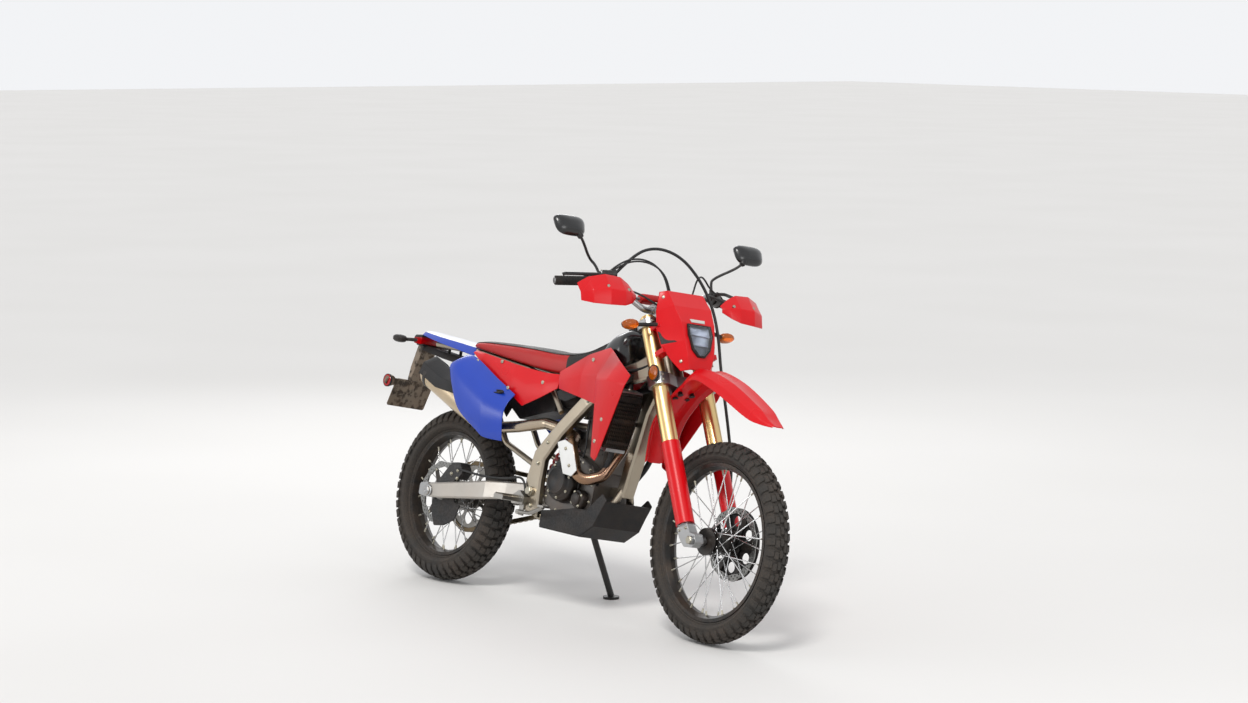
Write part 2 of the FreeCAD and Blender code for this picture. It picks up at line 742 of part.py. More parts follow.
SHOCK_LOW = V(512, 0, 372)
SHOCK_TOP = V(676, 0, 652)


def make_shock(frame, swingarm):
    along = SHOCK_TOP - SHOCK_LOW
    length = along.Length
    along.normalize()
    side = along.cross(LEFT)
    profile = [(0, 0), (0, 13), (104, 13), (104, 34)]
    coils = 7
    start, pitch = 110.0, (length - 150.0) / coils
    for i in range(coils):
        t = start + pitch * i
        profile += [(t, 26), (t + pitch * 0.15, 33), (t + pitch * 0.6, 33), (t + pitch * 0.75, 26)]
    profile += [(length - 38, 34), (length - 30, 34), (length - 30, 18), (length, 18), (length, 0)]
    points = [SHOCK_LOW + along * t + side * r for t, r in profile]
    body = Part.Face(Part.makePolygon(points + points[:1])).revolve(SHOCK_LOW, along, 360)
    return body.cut([frame, swingarm])


def make_rear_caliper(swingarm, rear_axle):
    y_out, y_in = -98.0, -52.0
    body = axle_slab([(58, 72), (122, 60), (146, 94), (120, 126), (72, 120)], y_out, y_in, 10.0)
    slot = cross_rod(0, REAR_AXLE.z, REAR_DISC_R + MOVING_GAP, REAR_DISC_Y - 7.0, REAR_DISC_Y + 7.0)
    plate = axle_slab([(-22, -20), (22, -22), (118, 66), (66, 114), (-10, 24)], y_out, y_out + 8.0, 8.0)
    return fuse([body.cut(slot), plate]).cut([swingarm, rear_axle])


def make_disc_guard():
    """The fin under the right axle that shields the disc."""
    outline = [(-8, -26), (58, -26), (62, 12), (122, 12), (130, -26), (168, -30), (146, -90), (90, -118),
               (30, -126), (8, -86)]
    return axle_slab(outline, -103.2, -98.6, 9.0)


# Tank, seat and covers

def make_fuel_tank(frame):
    """Between and above the spars, its front face clear of the turning fork."""
    rows = [
        # x, top z, bottom z, top half width, shoulder half width
        (690, 880, 800, 30, 60),
        (780, 935, 830, 45, 76),
        (850, 1015, 850, 55, 98),
        (925, 1035, 870, 55, 100),
        (960, 985, 885, 40, 60),
    ]
    sections = []
    for x, top, low, top_half, half in rows:
        knee = low + (top - low) * 0.62
        sections.append([V(x, -half * 0.8, low), V(x, -half, knee), V(x, -top_half, top),
                         V(x, top_half, top), V(x, half, knee), V(x, half * 0.8, low)])
    tank = loft(sections)
    cap_base = Part.makeCylinder(30, 14, V(895, 0, 1022), V(0, 0, 1))
    profile = [(0, 1034), (34, 1034), (34, 1048), (28, 1054), (0, 1054)]
    points = [V(895 + r, 0, z) for r, z in profile]
    cap = Part.Face(Part.makePolygon(points + points[:1])).revolve(V(895, 0, 0), V(0, 0, 1), 360)
    return fuse([tank, cap_base, cap]).cut(frame)


SEAT_ROWS = [
    # x, top z, edge z, bottom z, top half width, bottom half width
    (66, 905, 898, 888, 60, 78),
    (130, 922, 908, 882.3, 72, 100),
    (417, 926, 908, 851.3, 84, 112),
    (600, 922, 902, 838, 74, 100),
    (720, 942, 918, 850, 60, 88),
    (835, 1000, 970, 925, 48, 74),
]


def make_seat(tank, subframe):
    sections = []
    for x, top, edge, low, top_half, half in SEAT_ROWS:
        sections.append([V(x, -half, low), V(x, -half, edge), V(x, -top_half, top),
                         V(x, top_half, top), V(x, half, edge), V(x, half, low)])
    return loft(sections).cut([tank, subframe])


def make_shroud(tank, radiator):
    rows = [
        # top x, top z, low x, low z, share of the way down to the crease, top y, crease y, low y
        (655, 845, 671, 784, 0.5, 132, 138, 138),
        (780, 922, 800, 765, 0.5, 114, 145, 145),
        (883, 958, 928, 748, 0.5, 108, 170, 168),
        (905, 950, 942, 566, 0.29, 114, 180, 172),
        (1010, 915, 972, 552, 0.2, 165, 205, 174),
        (1143, 868, 986, 566, 0.12, 222, 224, 178),
    ]
    stations = []
    for tx, tz, lx, lz, share, top_y, crease_y, low_y in rows:
        stations.append([V(tx, -top_y, tz), V(tx + (lx - tx) * share, -crease_y, tz + (lz - tz) * share),
                         V(lx, -low_y, lz)])
    return fuse([panel(stations, PANEL_T), boss(830, 905, 8.0, 129, 80, tank),
                 boss(995, 700, 8.0, 189, 160, radiator)])


def make_side_panel(cover):
    """The big rear number panel that hides the silencer, with two bosses on the cover."""
    rows = [
        # x, top z, bottom z, top y, middle y, bottom y
        (93, 826, 796, 168, 196, 200),
        (130, 856, 738, 150, 206, 208),
        (190, 846, 650, 146, 212, 206),
        (310, 791, 583, 146, 210, 198),
        (350, 774, 563, 146, 206, 190),
        (435, 737, 560, 144, 190, 172),
    ]
    stations = [[V(x, -yt, zt), V(x, -ym, zb + (zt - zb) * 0.62), V(x, -yb, zb)]
                for x, zt, zb, yt, ym, yb in rows]
    return fuse([panel(stations, PANEL_T), boss(190, 840, 5.0, 149, 127, cover),
                 boss(380, 752, 5.0, 149, 135, cover)])


def make_side_cover(subframe):
    """The strip between seat, rear panel and shroud, with two bosses on the subframe."""
    rows = [
        # x, top z, bottom z, top y, bottom y
        (118, 878, 868, 104, 120),
        (180, 872, 838, 112, 130),
        (388, 848, 742, 122, 138),
        (470, 840, 700, 122, 134),
        (560, 834, 740, 118, 130),
        (652, 836, 784, 116, 130),
    ]
    stations = [[V(x, -yt, zt), V(x, -yt - 4, (zt + zb) / 2), V(x, -yb, zb)]
                for x, zt, zb, yt, yb in rows]
    return fuse([panel(stations, PANEL_T), boss(300, 850, 6.0, 116.5, 80, subframe),
                 boss(560, 797, 6.0, 121, 90, subframe)])


def make_airbox(subframe, cylinder):
    box = slab([(300, 700), (300, 800), (420, 822), (560, 790), (575, 702), (500, 684), (380, 650)],
               -58, 58, 16.0)
    duct = rod(V(560, 0, 748), V(764, 0, 742), 27.0)
    tab = rod(V(500, 0, 790), V(500, 0, 820), 10.0)
    tube_room = cross_rod(500, 820, 8.0 + SEAT_GAP, -20, 20)
    return fuse([box, duct, tab]).cut([subframe, tube_room, shifted(cylinder, V(-SEAT_GAP, 0, 0))])


def make_rear_fender(others):
    rows = [
        # top x, top z, edge x, edge z, top half, edge half
        (62, 898, 92, 856, 62, 96),
        (-20, 905, -30, 872, 66, 92),
        (-160, 915, -165, 890, 62, 84),
        (-291, 926, -291, 908, 46, 62),
    ]
    stations = [(V(tx, 0, tz), V(ex, 0, ez), th, eh) for tx, tz, ex, ez, th, eh in rows]
    return hood(stations, PANEL_T).cut(others)


def make_inner_fender():
    """The black mudguard between tyre and seat, down to the lamp."""
    rows = [
        (300, 690, 296, 650, 40, 57),
        (200, 790, 190, 750, 40, 57),
        (60, 838, 55, 806, 40, 57),
        (-150, 852, -150, 828, 38, 54),
        (-304, 870.2, -304, 850, 34, 44),
    ]
    stations = [(V(tx, 0, tz), V(ex, 0, ez), th, eh) for tx, tz, ex, ez, th, eh in rows]
    posts, rooms = [], []
    for x, z, low in ((60, 873, 836), (-150, 879, 850)):
        posts += [rod(V(x, y, low), V(x, y, z), 6.0) for y in (-28, 28)]
        rooms.append(cross_rod(x, z, 8.0 + SEAT_GAP, -40, 40))
    return fuse([hood(stations, PANEL_T)] + posts).cut(rooms)


def make_tail_light():
    return slab([(-292, 870), (-292, 905), (-334, 902), (-345, 886), (-336, 872)], -62, 62, 6.0)


def make_rear_signals(tail_light):
    solids = []
    for side in (-1, 1):
        stalk = rod(V(-322, side * 58, 884), V(-352, side * 92, 880), 7.0)
        lamp = slab([(-398, 866), (-398, 892), (-352, 896), (-336, 882), (-350, 864)],
                    min(side * 90, side * 132), max(side * 90, side * 132), 8.0)
        solids.append(fuse([stalk, lamp]).cut(tail_light))
    return Part.makeCompound(solids)


PLATE_TOP = V(-372, 0, 726)
PLATE_LOW = V(-412, 0, 618)
PLATE_T = 3.0


def make_plate_bracket(tail_light, inner_fender):
    stay = slab([(-306, 874), (-340, 876), (-368, 780), (-376, 726), (-362, 722), (-338, 778)],
                -34, 34, 6.0)
    down = PLATE_LOW - PLATE_TOP
    down.normalize()
    ahead = down.cross(LEFT)
    corners = [PLATE_TOP - LEFT * 90, PLATE_TOP + LEFT * 90, PLATE_LOW + LEFT * 90, PLATE_LOW - LEFT * 90]
    plate = Part.Face(tangent_path(corners, 8.0, closed=True)).extrude(ahead * PLATE_T)
    root = PLATE_TOP + ahead * PLATE_T
    ear = Part.Face(tangent_path([root - LEFT * 50, root - LEFT * 134, root - LEFT * 134 + down * 30,
                                  root - LEFT * 50 + down * 30], 6.0, closed=True)).extrude(ahead * PLATE_T)
    reflector = Part.makeCylinder(22.0, 12.0, root - LEFT * 115 + down * 15, ahead * -1.0)
    return fuse([stay, plate, ear, reflector]).cut([tail_light, inner_fender])


def make_skid_plate(others):
    side_outline = [(654, 340), (654, 281), (884, 277), (950, 322), (1000, 420), (974, 440), (900, 372),
                    (842, 372), (740, 352)]
    floor = [(654, 277), (884, 273), (954, 320), (996, 412), (991, 415), (950, 323), (883, 277.5),
             (654, 281.5)]
    y = CASE_HALF + 12.0
    walls = [slab(side_outline, y, y + 4, 6.0), slab(side_outline, -y - 4, -y, 6.0)]
    return fuse([slab(floor, -y - 2, y + 2)] + walls).cut(others)


def make_radiator(cradle):
    core = slab([(1000, 604), (1044, 806), (1000, 816), (956, 612)], 60, 166)
    slats = []
    for i in range(14):
        t = (i + 1) / 15.0
        x, z = 1000 + 44 * t, 604 + 202 * t
        slats.append(slab([(x - 6, z - 3), (x + 4, z - 5), (x + 4, z + 1), (x - 6, z + 3)], 66, 160))
    body = fuse([core, slab([(997, 594), (1000, 604), (956, 612), (953, 602)], 68, 150)])
    whole = fuse([body.cut(slab([(994, 612), (1036, 800), (1046, 798), (1003, 608)], 66, 160))] + slats)
    stay = rod(V(996, 18, 700), V(996, 64, 700), 8.0)
    whole = fuse([whole, stay]).cut(cradle)
    return whole


def make_footpegs(frame):
    solids = []
    for side in (-1, 1):
        y0 = SPAR_INNER_Y + SPAR_T + SEAT_GAP
        low, high = sorted((side * y0, side * (y0 + 26)))
        bracket = slab([(520, 344), (520, 374), (556, 398), (590, 376), (586, 348)], low, high, 8.0)
        low, high = sorted((side * (y0 + 20), side * (y0 + 112)))
        peg = slab([(522, 354), (522, 372), (574, 372), (574, 354)], low, high, 4.0)
        teeth = [slab([(528 + 8 * i, 371), (530 + 8 * i, 377), (532 + 8 * i, 371)], low, high)
                 for i in range(6)]
        solids.append(fuse([bracket, peg] + teeth).cut(frame))
    return Part.makeCompound(solids)


def make_brake_pedal(frame, footpegs):
    arm = tube([V(560, -140, 318), V(640, -150, 322), V(735, -172, 352)], 7.0, 60.0)
    pad = Part.makeBox(34, 30, 8, V(720, -188, 352))
    shaft = cross_rod(560, 318, 9.0, -147, -118)
    hanger = slab([(548, 306), (548, 350), (572, 350), (572, 306)], -122 - 6.3, -122 - SEAT_GAP)
    return fuse([arm, pad, shaft, hanger]).cut([frame, footpegs])


def make_shift_lever(cases):
    shaft = cross_rod(712, 372, 7.0, NOTCH_Y, 128)
    arm = tube([V(712, 124, 372), V(780, 138, 372), V(840, 150, 392)], 6.0, 40.0)
    peg = cross_rod(840, 392, 8.0, 146, 182)
    return fuse([shaft, arm, peg]).cut(cases)


# Steered front end, all in fork coordinates

CLAMP_OUTLINE = [
    # a, y round the edge
    (-34, 0), (-30, 26), (-6, 62), (-4, 132), (14, 140), (54, 140), (68, 124), (64, 84), (44, 36),
    (44, -36), (64, -84), (68, -124), (54, -140), (14, -140), (-4, -132), (-6, -62), (-30, -26),
]


def leg_rods(radius, s0, s1):
    return [rod(fork(FORK_A, side * FORK_Y, s0), fork(FORK_A, side * FORK_Y, s1), radius)
            for side in (-1, 1)]


def make_triple_clamps():
    """Both clamps on one stem, with the handlebar's risers."""
    lower = fork_plate(CLAMP_OUTLINE, LOWER_CLAMP_S, HEAD_BOTTOM_S - MOVING_GAP, 12.0)
    upper = fork_plate(CLAMP_OUTLINE, UPPER_CLAMP_S, UPPER_CLAMP_S + UPPER_CLAMP_T, 12.0)
    stem = rod(fork(0, 0, LOWER_CLAMP_S), fork(0, 0, UPPER_CLAMP_S + UPPER_CLAMP_T), STEM_R)
    nut = rod(fork(0, 0, UPPER_CLAMP_S + UPPER_CLAMP_T), fork(0, 0, UPPER_CLAMP_S + UPPER_CLAMP_T + 9), 17.0)
    top = UPPER_CLAMP_S + UPPER_CLAMP_T
    risers = []
    for side in (-1, 1):
        low, high = sorted((side * 38, side * 64))
        risers.append(fork_slab([(-14, top), (36, top), (34, BAR_S + 12), (26, BAR_S + 22), (-4, BAR_S + 22),
                                 (-12, BAR_S + 12)], low, high, 5.0))
    body = fuse([lower, upper, stem, nut] + risers)
    bar = rod(fork(BAR_A, -80, BAR_S), fork(BAR_A, 80, BAR_S), BAR_CLAMP_R)
    return body.cut(leg_rods(FORK_OUTER_R + SEAT_GAP, LOWER_CLAMP_S - 50, top + 50) + [bar])


def make_fork_tubes():
    legs = []
    for tube_rod, cap in zip(leg_rods(FORK_OUTER_R, FORK_OUTER_BOTTOM_S, FORK_TOP_S),
                             leg_rods(FORK_OUTER_R - 7, FORK_TOP_S, FORK_TOP_S + 8)):
        legs.append(fuse([tube_rod, cap]))
    socket = leg_rods(FORK_INNER_R, FORK_OUTER_BOTTOM_S, FORK_OUTER_BOTTOM_S + 20)
    return Part.makeCompound([legs[0].cut(socket[0]), legs[1].cut(socket[1])])


def make_fork_sliders():
    return Part.makeCompound(leg_rods(FORK_INNER_R, 70.0, FORK_OUTER_BOTTOM_S + 20))


def make_fork_feet():
    solids = []
    for side in (-1, 1):
        low, high = sorted((side * 84, side * 120))
        foot = fork_slab([(0, 70), (56, 70), (62, 30), (AXLE_A + 22, 14), (AXLE_A + 20, -16),
                          (AXLE_A - 8, -24), (18, -6), (4, 30)], low, high, 9.0)
        axle = rod(fork(AXLE_A, -130, 0), fork(AXLE_A, 130, 0), AXLE_R + SEAT_GAP)
        solids.append(foot.cut(axle))
    return Part.makeCompound(solids)


def make_front_axle():
    pieces = [rod(fork(AXLE_A, -129, 0), fork(AXLE_A, 129, 0), AXLE_R),
              rod(fork(AXLE_A, 120.3, 0), fork(AXLE_A, 130, 0), 15.0),
              rod(fork(AXLE_A, -130, 0), fork(AXLE_A, -120.3, 0), 15.0),
              rod(fork(AXLE_A, 67, 0), fork(AXLE_A, 83.7, 0), 15.0),
              rod(fork(AXLE_A, -83.7, 0), fork(AXLE_A, -65, 0), 15.0)]
    return fuse(pieces)


def make_fork_guards():
    """Half shells before the sliders, from the feet to the outer tubes."""
    inner, outer = FORK_OUTER_R + SEAT_GAP, FORK_OUTER_R + 4.0
    solids = []
    for side in (-1, 1):
        y = side * FORK_Y
        shell = rod(fork(FORK_A, y, 72), fork(FORK_A, y, 378), outer)
        shell = shell.cut(rod(fork(FORK_A, y, 72), fork(FORK_A, y, 378), inner))
        low, high = sorted((y - side * 40, y + side * 12))
        behind = fork_slab([(-20, 60), (FORK_A + 4, 60), (FORK_A + 4, 250), (FORK_A - 12, 390), (-20, 390)],
                           low, high)
        solids.append(shell.cut(behind))
    return Part.makeCompound(solids)


FENDER_ROWS = [
    # top a, top s, edge a, edge s, top half, edge half
    (-190, 404, -170, 390, 34, 60),
    (-110, 515, -88, 496, 38, 70),
    (0, 566, 6, 540, 40, 69),
    (90, 588, 92, 556, 40, 71),
    (185, 600, 178, 556, 40, 77),
    (311, 500, 276, 465, 34, 76),
    (420, 360, 385, 329, 30, 66),
    (474, 262, 458, 246, 16, 32),
]


def make_front_fender(clamps, fork_tubes):
    rows = [(fork(ta, 0, ts), fork(ea, 0, es), th, eh) for ta, ts, ea, es, th, eh in FENDER_ROWS]
    shell = hood(rows, PANEL_T)
    posts = [rod(fork(a, y, 562), fork(a, y, LOWER_CLAMP_S), 8.0) for a in (10, 40) for y in (-26, 26)]
    return fuse([shell] + posts).cut([clamps, fork_tubes])


COWL_ROWS = [
    # s, front a, front half, back a, back half
    (918, 134, 80, 116, 104),
    (850, 158, 84, 96, 118),
    (782, 170, 74, 84, 122),
    (716, 164, 66, 92, 122),
    (660, 151, 58, 100, 94),
    (618, 134, 46, 112, 70),
]
LAMP_OUTLINE = [
    # y, s of its right half, from the top down
    (52, 776), (54, 736), (40, 684), (16, 660),
]
LAMP_PROFILE = [(90, 800), (177, 800), (177, 736), (165, 684), (156, 640), (90, 640)]


def cowl_section(s, front, front_half, back, back_half, inset):
    outer = [(back, -back_half), (front, -front_half), (front, front_half), (back, back_half)]
    inner = [(back, back_half - inset), (front - inset, front_half - inset),
             (front - inset, inset - front_half), (back, inset - back_half)]
    return [fork(a, y, s) for a, y in outer + inner]


def lamp_solid(grow, back):
    """The headlight's body, from a = back out to its sloping lens."""
    top = LAMP_OUTLINE[0][1]
    right = [(-y - grow, s + (grow if s == top else -grow)) for y, s in LAMP_OUTLINE]
    ring = right + [(-y, s) for y, s in reversed(right)]
    points = [fork(back, y, s) for y, s in ring]
    body = Part.Face(Part.makePolygon(points + points[:1])).extrude(AHEAD * 100.0)
    return body.common(fork_slab(LAMP_PROFILE, -80, 80))


def make_headlight_cowl(clamps, fork_tubes):
    rows = [cowl_section(*row, PANEL_T) for row in COWL_ROWS]
    cowl = loft(rows).cut(lamp_solid(SEAT_GAP, 100))
    straps = []
    for side in (-1, 1):
        for s in (700, 800):
            low, high = sorted((side * 86, side * 122))
            straps.append(fork_slab([(52, s - 9), (100, s - 9), (100, s + 9), (52, s + 9)], low, high))
    grown = leg_rods(FORK_OUTER_R + SEAT_GAP, 600, 860)
    outside = [fork_slab([(0, 600), (200, 600), (200, 900), (0, 900)], 122, 160),
               fork_slab([(0, 600), (200, 600), (200, 900), (0, 900)], -160, -122)]
    return fuse([cowl] + straps).cut(grown + outside + [clamps])


def make_headlight(fork_tubes):
    lamp = lamp_solid(0.0, 118)
    shell = fork_slab([(96, 676), (120, 668), (120, 772), (96, 764)], -38, 38, 6.0)
    bar = fork_slab([(70, 712), (96, 712), (96, 728), (70, 728)], -60, 60)
    arms = [fork_slab([(50, 712), (96, 712), (96, 728), (50, 728)], side * 68 - 8, side * 68 + 8)
            for side in (-1, 1)]
    return fuse([lamp, shell, bar] + arms).cut(leg_rods(FORK_OUTER_R + SEAT_GAP, 600, 860))


def make_front_signals(cowl):
    solids = []
    for side in (-1, 1):
        stalk = rod(fork(92, side * 118, 800), fork(68, side * 196, 800), 7.0)
        low, high = sorted((side * 188, side * 252))
        lamp = fork_slab([(40, 786), (38, 812), (64, 820), (88, 812), (86, 786)], low, high, 8.0)
        solids.append(fuse([stalk, lamp]).cut(cowl))
    return Part.makeCompound(solids)


BAR_A, BAR_S = 11.0, 896.0
BAR_POINTS = [
    # a, y, s of one half, from the clamps out to the end
    (BAR_A, 0, BAR_S), (BAR_A, 96, BAR_S), (-8, 222, 1000), (-75, BAR_HALF_WIDTH, 1008),
]


def bar_point(distance_from_end, side):
    """A point on the straight grip run, and that run's outward direction."""
    end = fork(BAR_POINTS[-1][0], side * BAR_POINTS[-1][1], BAR_POINTS[-1][2])
    inner = fork(BAR_POINTS[-2][0], side * BAR_POINTS[-2][1], BAR_POINTS[-2][2])
    out = end - inner
    out.normalize()
    return end - out * distance_from_end, out


def make_handlebar():
    halves = [fork(a, -y, s) for a, y, s in reversed(BAR_POINTS)]
    halves += [fork(a, y, s) for a, y, s in BAR_POINTS[1:]]
    bar = tube(halves, BAR_R, 40.0)
    sleeve = rod(fork(BAR_A, -70, BAR_S), fork(BAR_A, 70, BAR_S), BAR_CLAMP_R - 0.2)
    brace = rod(fork(4, -150, 942), fork(4, 150, 942), 6.0)
    return fuse([bar, sleeve, brace])


def make_bar_pad():
    pad = fork_slab([(-16, 928), (-18, 956), (-4, 964), (18, 962), (26, 948), (24, 926)], -104, 104, 6.0)
    return pad.cut(rod(fork(4, -120, 942), fork(4, 120, 942), 6.0 + SEAT_GAP))


def make_grips():
    solids = []
    for side in (-1, 1):
        start, out = bar_point(GRIP_LENGTH, side)
        grip = fuse([Part.makeCylinder(GRIP_R, GRIP_LENGTH - GRIP_END, start, out),
                     Part.makeCylinder(GRIP_R + 7.0, GRIP_FLANGE_T, start, out)])
        solids.append(grip.cut(Part.makeCylinder(BAR_R + SEAT_GAP, GRIP_LENGTH, start, out)))
    return Part.makeCompound(solids)


def make_controls():
    """Switch housings, lever perches and levers of both sides."""
    solids = []
    for side in (-1, 1):
        start, out = bar_point(GRIP_LENGTH + 34.0, side)
        housing = Part.makeCylinder(22.0, 30.0, start, out)
        perch_at, _ = bar_point(GRIP_LENGTH + 60.0, side)
        perch = Part.makeCylinder(17.0, 26.0, perch_at, out)
        pivot = perch_at + AHEAD * 42 + out * 16
        block = rod(perch_at + out * 13 + AHEAD * 10, pivot, 9.0)
        end, _ = bar_point(6.0, side)
        lever = tube([pivot, pivot + out * 30 + AHEAD * 14, end + AHEAD * 58, end + AHEAD * 52 + out * 4], 6.0, 30.0)
        hole = Part.makeCylinder(BAR_R + SEAT_GAP, 120.0, perch_at - out * 10, out)
        pieces = [housing, perch, block, lever]
        if side < 0:
            tank = rod(pivot - out * 44 + UP * 8, pivot + out * 4 + UP * 8, 15.0)
            pieces.append(tank)
        solids.append(fuse(pieces).cut(hole))
    return Part.makeCompound(solids)


def make_hand_guards(others):
    solids = []
    for side in (-1, 1):
        rows = [
            # y, top a, top s, low a, low s
            (196, 88, 930, 96, 862),
            (250, 106, 956, 112, 846),
            (320, 104, 962, 110, 842),
            (384, 78, 956, 86, 850),
            (410, 44, 944, 50, 872),
        ]
        sections = []
        for y, ta, ts, la, ls in rows:
            outer = [fork(ta, side * y, ts), fork((ta + la) / 2 + 10, side * y, (ts + ls) / 2),
                     fork(la, side * y, ls)]
            inner = [p - AHEAD * PANEL_T for p in reversed(outer)]
            sections.append(outer + inner)
        shell = loft(sections)
        root, out = bar_point(GRIP_LENGTH + 72.0, side)
        strut = tube([root + AHEAD * 8.0, root + AHEAD * 60 - UP * 30, fork(112.5, side * 236, 900)], 6.0, 30.0)
        solids.append(fuse([shell, strut]).cut(others))
    return Part.makeCompound(solids)


def make_mirrors(others):
    solids = []
    for side in (-1, 1):
        base, out = bar_point(GRIP_LENGTH + 48.0, side)
        foot = base + AHEAD * 12 + UP * 8
        centre = fork(53, side * 410, 1160)
        stem = tube([foot, foot + UP * 60 + out * 24, centre - UP * 26 - LEFT * side * 34], 5.0, 60.0)
        sections = []
        for depth, wide, high in ((0, 66, 38), (6, 72, 44), (22, 60, 34), (30, 34, 18)):
            ring = []
            for i in range(10):
                angle = 2 * math.pi * i / 10
                ring.append(centre + LEFT * wide * math.cos(angle) + UP * high * math.sin(angle)
                            + AHEAD * depth)
            sections.append(ring)
        solids.append(fuse([stem, loft(sections)]).cut(others))
    return Part.makeCompound(solids)


def make_instrument():
    block = fork_slab([(66, 866), (96, 862), (104, 912), (98, 930), (62, 926)], -62, 62, 6.0)
    foot = UPPER_CLAMP_S + UPPER_CLAMP_T + SEAT_GAP
    stay = fork_slab([(36, foot), (36, 866), (70, 880), (70, 866), (56, foot)], -30, 30)
    return fuse([block, stay])


BRAKE_HOSE = [
    # a, y, s
    (34, -222, 1008), (70, -150, 1080), (92, -60, 1112), (112, 30, 1080), (112, 100, 1000),
    (106, 142, 900), (98, 152, 790), (76, 150, 650), (66, 148, 480), (38, 152, 300), (0, 138, 180),
    (-38, 84, 88),
]
HOSE_R = 4.5


def make_brake_hose(others):
    hose = tube([fork(*p) for p in BRAKE_HOSE], HOSE_R, 90.0)
    return hose.cut(others)


def make_front_caliper(feet):
    body = fork_slab([(-78, 18), (-38, 100), (0, 84), (-4, 44), (-44, -4)], 50, 92, 10.0)
    slot = Part.makeCylinder(FRONT_DISC_R + MOVING_GAP, 14.0, FRONT_AXLE + LEFT * (FRONT_DISC_Y - 7.0), LEFT)
    plate = fork_slab([(-46, 40), (-20, 78), (30, 60), (34, 20), (-20, 10)], 85, 92, 6.0)
    return fuse([body.cut(slot), plate]).cut([feet] + leg_rods(FORK_INNER_R + SEAT_GAP, 60, 200))


def make_front_disc_guard(caliper):
    """A round dished cover outside the disc, on three posts from the fork foot."""
    y = FRONT_DISC_Y + DISC_T / 2 + MOVING_GAP + 1.0
    outer = FRONT_DISC_R - 4.0
    profile = [(34, y), (outer - 8, y), (outer, y + 5), (outer, y + 8), (outer - 2, y + 8),
               (outer - 9, y + 3), (34, y + 3)]
    cover = revolved(profile, FRONT_AXLE)
    window = Part.makeCylinder(19.0, 10.0, FRONT_AXLE + V(0, y - 2, (34 + outer) / 2), LEFT)
    cuts = [turned(window, FRONT_AXLE, LEFT, angle) for angle in range(0, 360, 60)]
    inside = [rod(fork(a, y + 1, s), fork(a, 84 - SEAT_GAP, s), 6.0)
              for a, s in ((AXLE_A - 38, 40), (AXLE_A - 18, 50))]
    ledge = fork_slab([(AXLE_A - 46, 60), (AXLE_A - 10, 60), (AXLE_A - 10, 20), (AXLE_A - 46, 20)], y, y + 3, 4.0)
    room = [shifted(caliper, AHEAD * a + UP * s) for a, s in ((2, 0), (2, -2), (0, -2), (0, 0), (-2, 2))]
    room += leg_rods(FORK_OUTER_R + 4.0 + 2 * SEAT_GAP, 66, 400)
    return fuse([cover.cut(cuts), ledge] + inside).cut(room)


# Ground plane under the leaning bike, as a turn and a shift of the upright one

def turn_vector(vector, axis, degrees):
    return FreeCAD.Rotation(axis, degrees).multVec(vector)


def steered_point(point):
    return STEER_BASE + turn_vector(point - STEER_BASE, UP, STEER_AT_REST)


FRONT_TYRE = tyre(FRONT_AXLE, FRONT_TYRE_R, FRONT_TYRE_W, FRONT_BEAD_R, FRONT_RIM_W, FRONT_LUG_H,
                  FRONT_PITCHES)
REAR_TYRE = tyre(REAR_AXLE, REAR_TYRE_R, REAR_TYRE_W, REAR_BEAD_R, REAR_RIM_W, REAR_LUG_H, REAR_PITCHES)


def pose_angles():
    """The pitch that brings both tyres to the floor after the lean, and the floor's height."""
    corners = ([v.Point for v in REAR_TYRE.Vertexes], [steered_point(v.Point) for v in FRONT_TYRE.Vertexes])
    pitch = 0.0
    for _ in range(6):
        lows = [min(leant(p, pitch).z for p in points) for points in corners]
        pitch += math.degrees((lows[1] - lows[0]) / WHEELBASE)
    return pitch, min(lows)


def leant(vector, pitch):
    return turn_vector(turn_vector(vector, V(1, 0, 0), -LEAN), LEFT, pitch)


PITCH, FLOOR_Z = pose_angles()


def floor_distance(point):
    """How high an upright point is above the floor once the bike leans."""
    return leant(point, PITCH).z - FLOOR_Z


def make_side_stand():
    """Eye, leg and foot; the foot lies flat on the floor of the leaning bike."""
    axis = stand_axis()
    reach = V(50, 135, -278)
    reach.normalize()
    down = turn_vector(turn_vector(V(0, 0, -1), LEFT, -PITCH), V(1, 0, 0), LEAN)
    length = floor_distance(STAND_PIVOT) / reach.dot(down)
    foot_t = 9.0
    ground = STAND_PIVOT + reach * length
    ankle = ground - down * foot_t
    eye = Part.makeCylinder(17.0, 12.0, STAND_PIVOT - axis * 6.0, axis)
    neck = rod(STAND_PIVOT + reach * 10.0, STAND_PIVOT + reach * 34.0, 6.0)
    leg = tube([STAND_PIVOT + reach * 24.0, STAND_PIVOT + reach * 80.0 + LEFT * 4, ankle], STAND_LEG_R, 120.0)
    pad = Part.makeCylinder(30.0, foot_t, ankle, down)
    stand = fuse([eye, neck, leg, pad])
    below = Part.makeCylinder(200.0, 60.0, ground, down)
    bore = Part.makeCylinder(STAND_PIN_R + RUNNING_FIT, 40.0, STAND_PIVOT - axis * 20.0, axis)
    return stand.cut([below, bore])


# Assembly: every node with the body that carries it

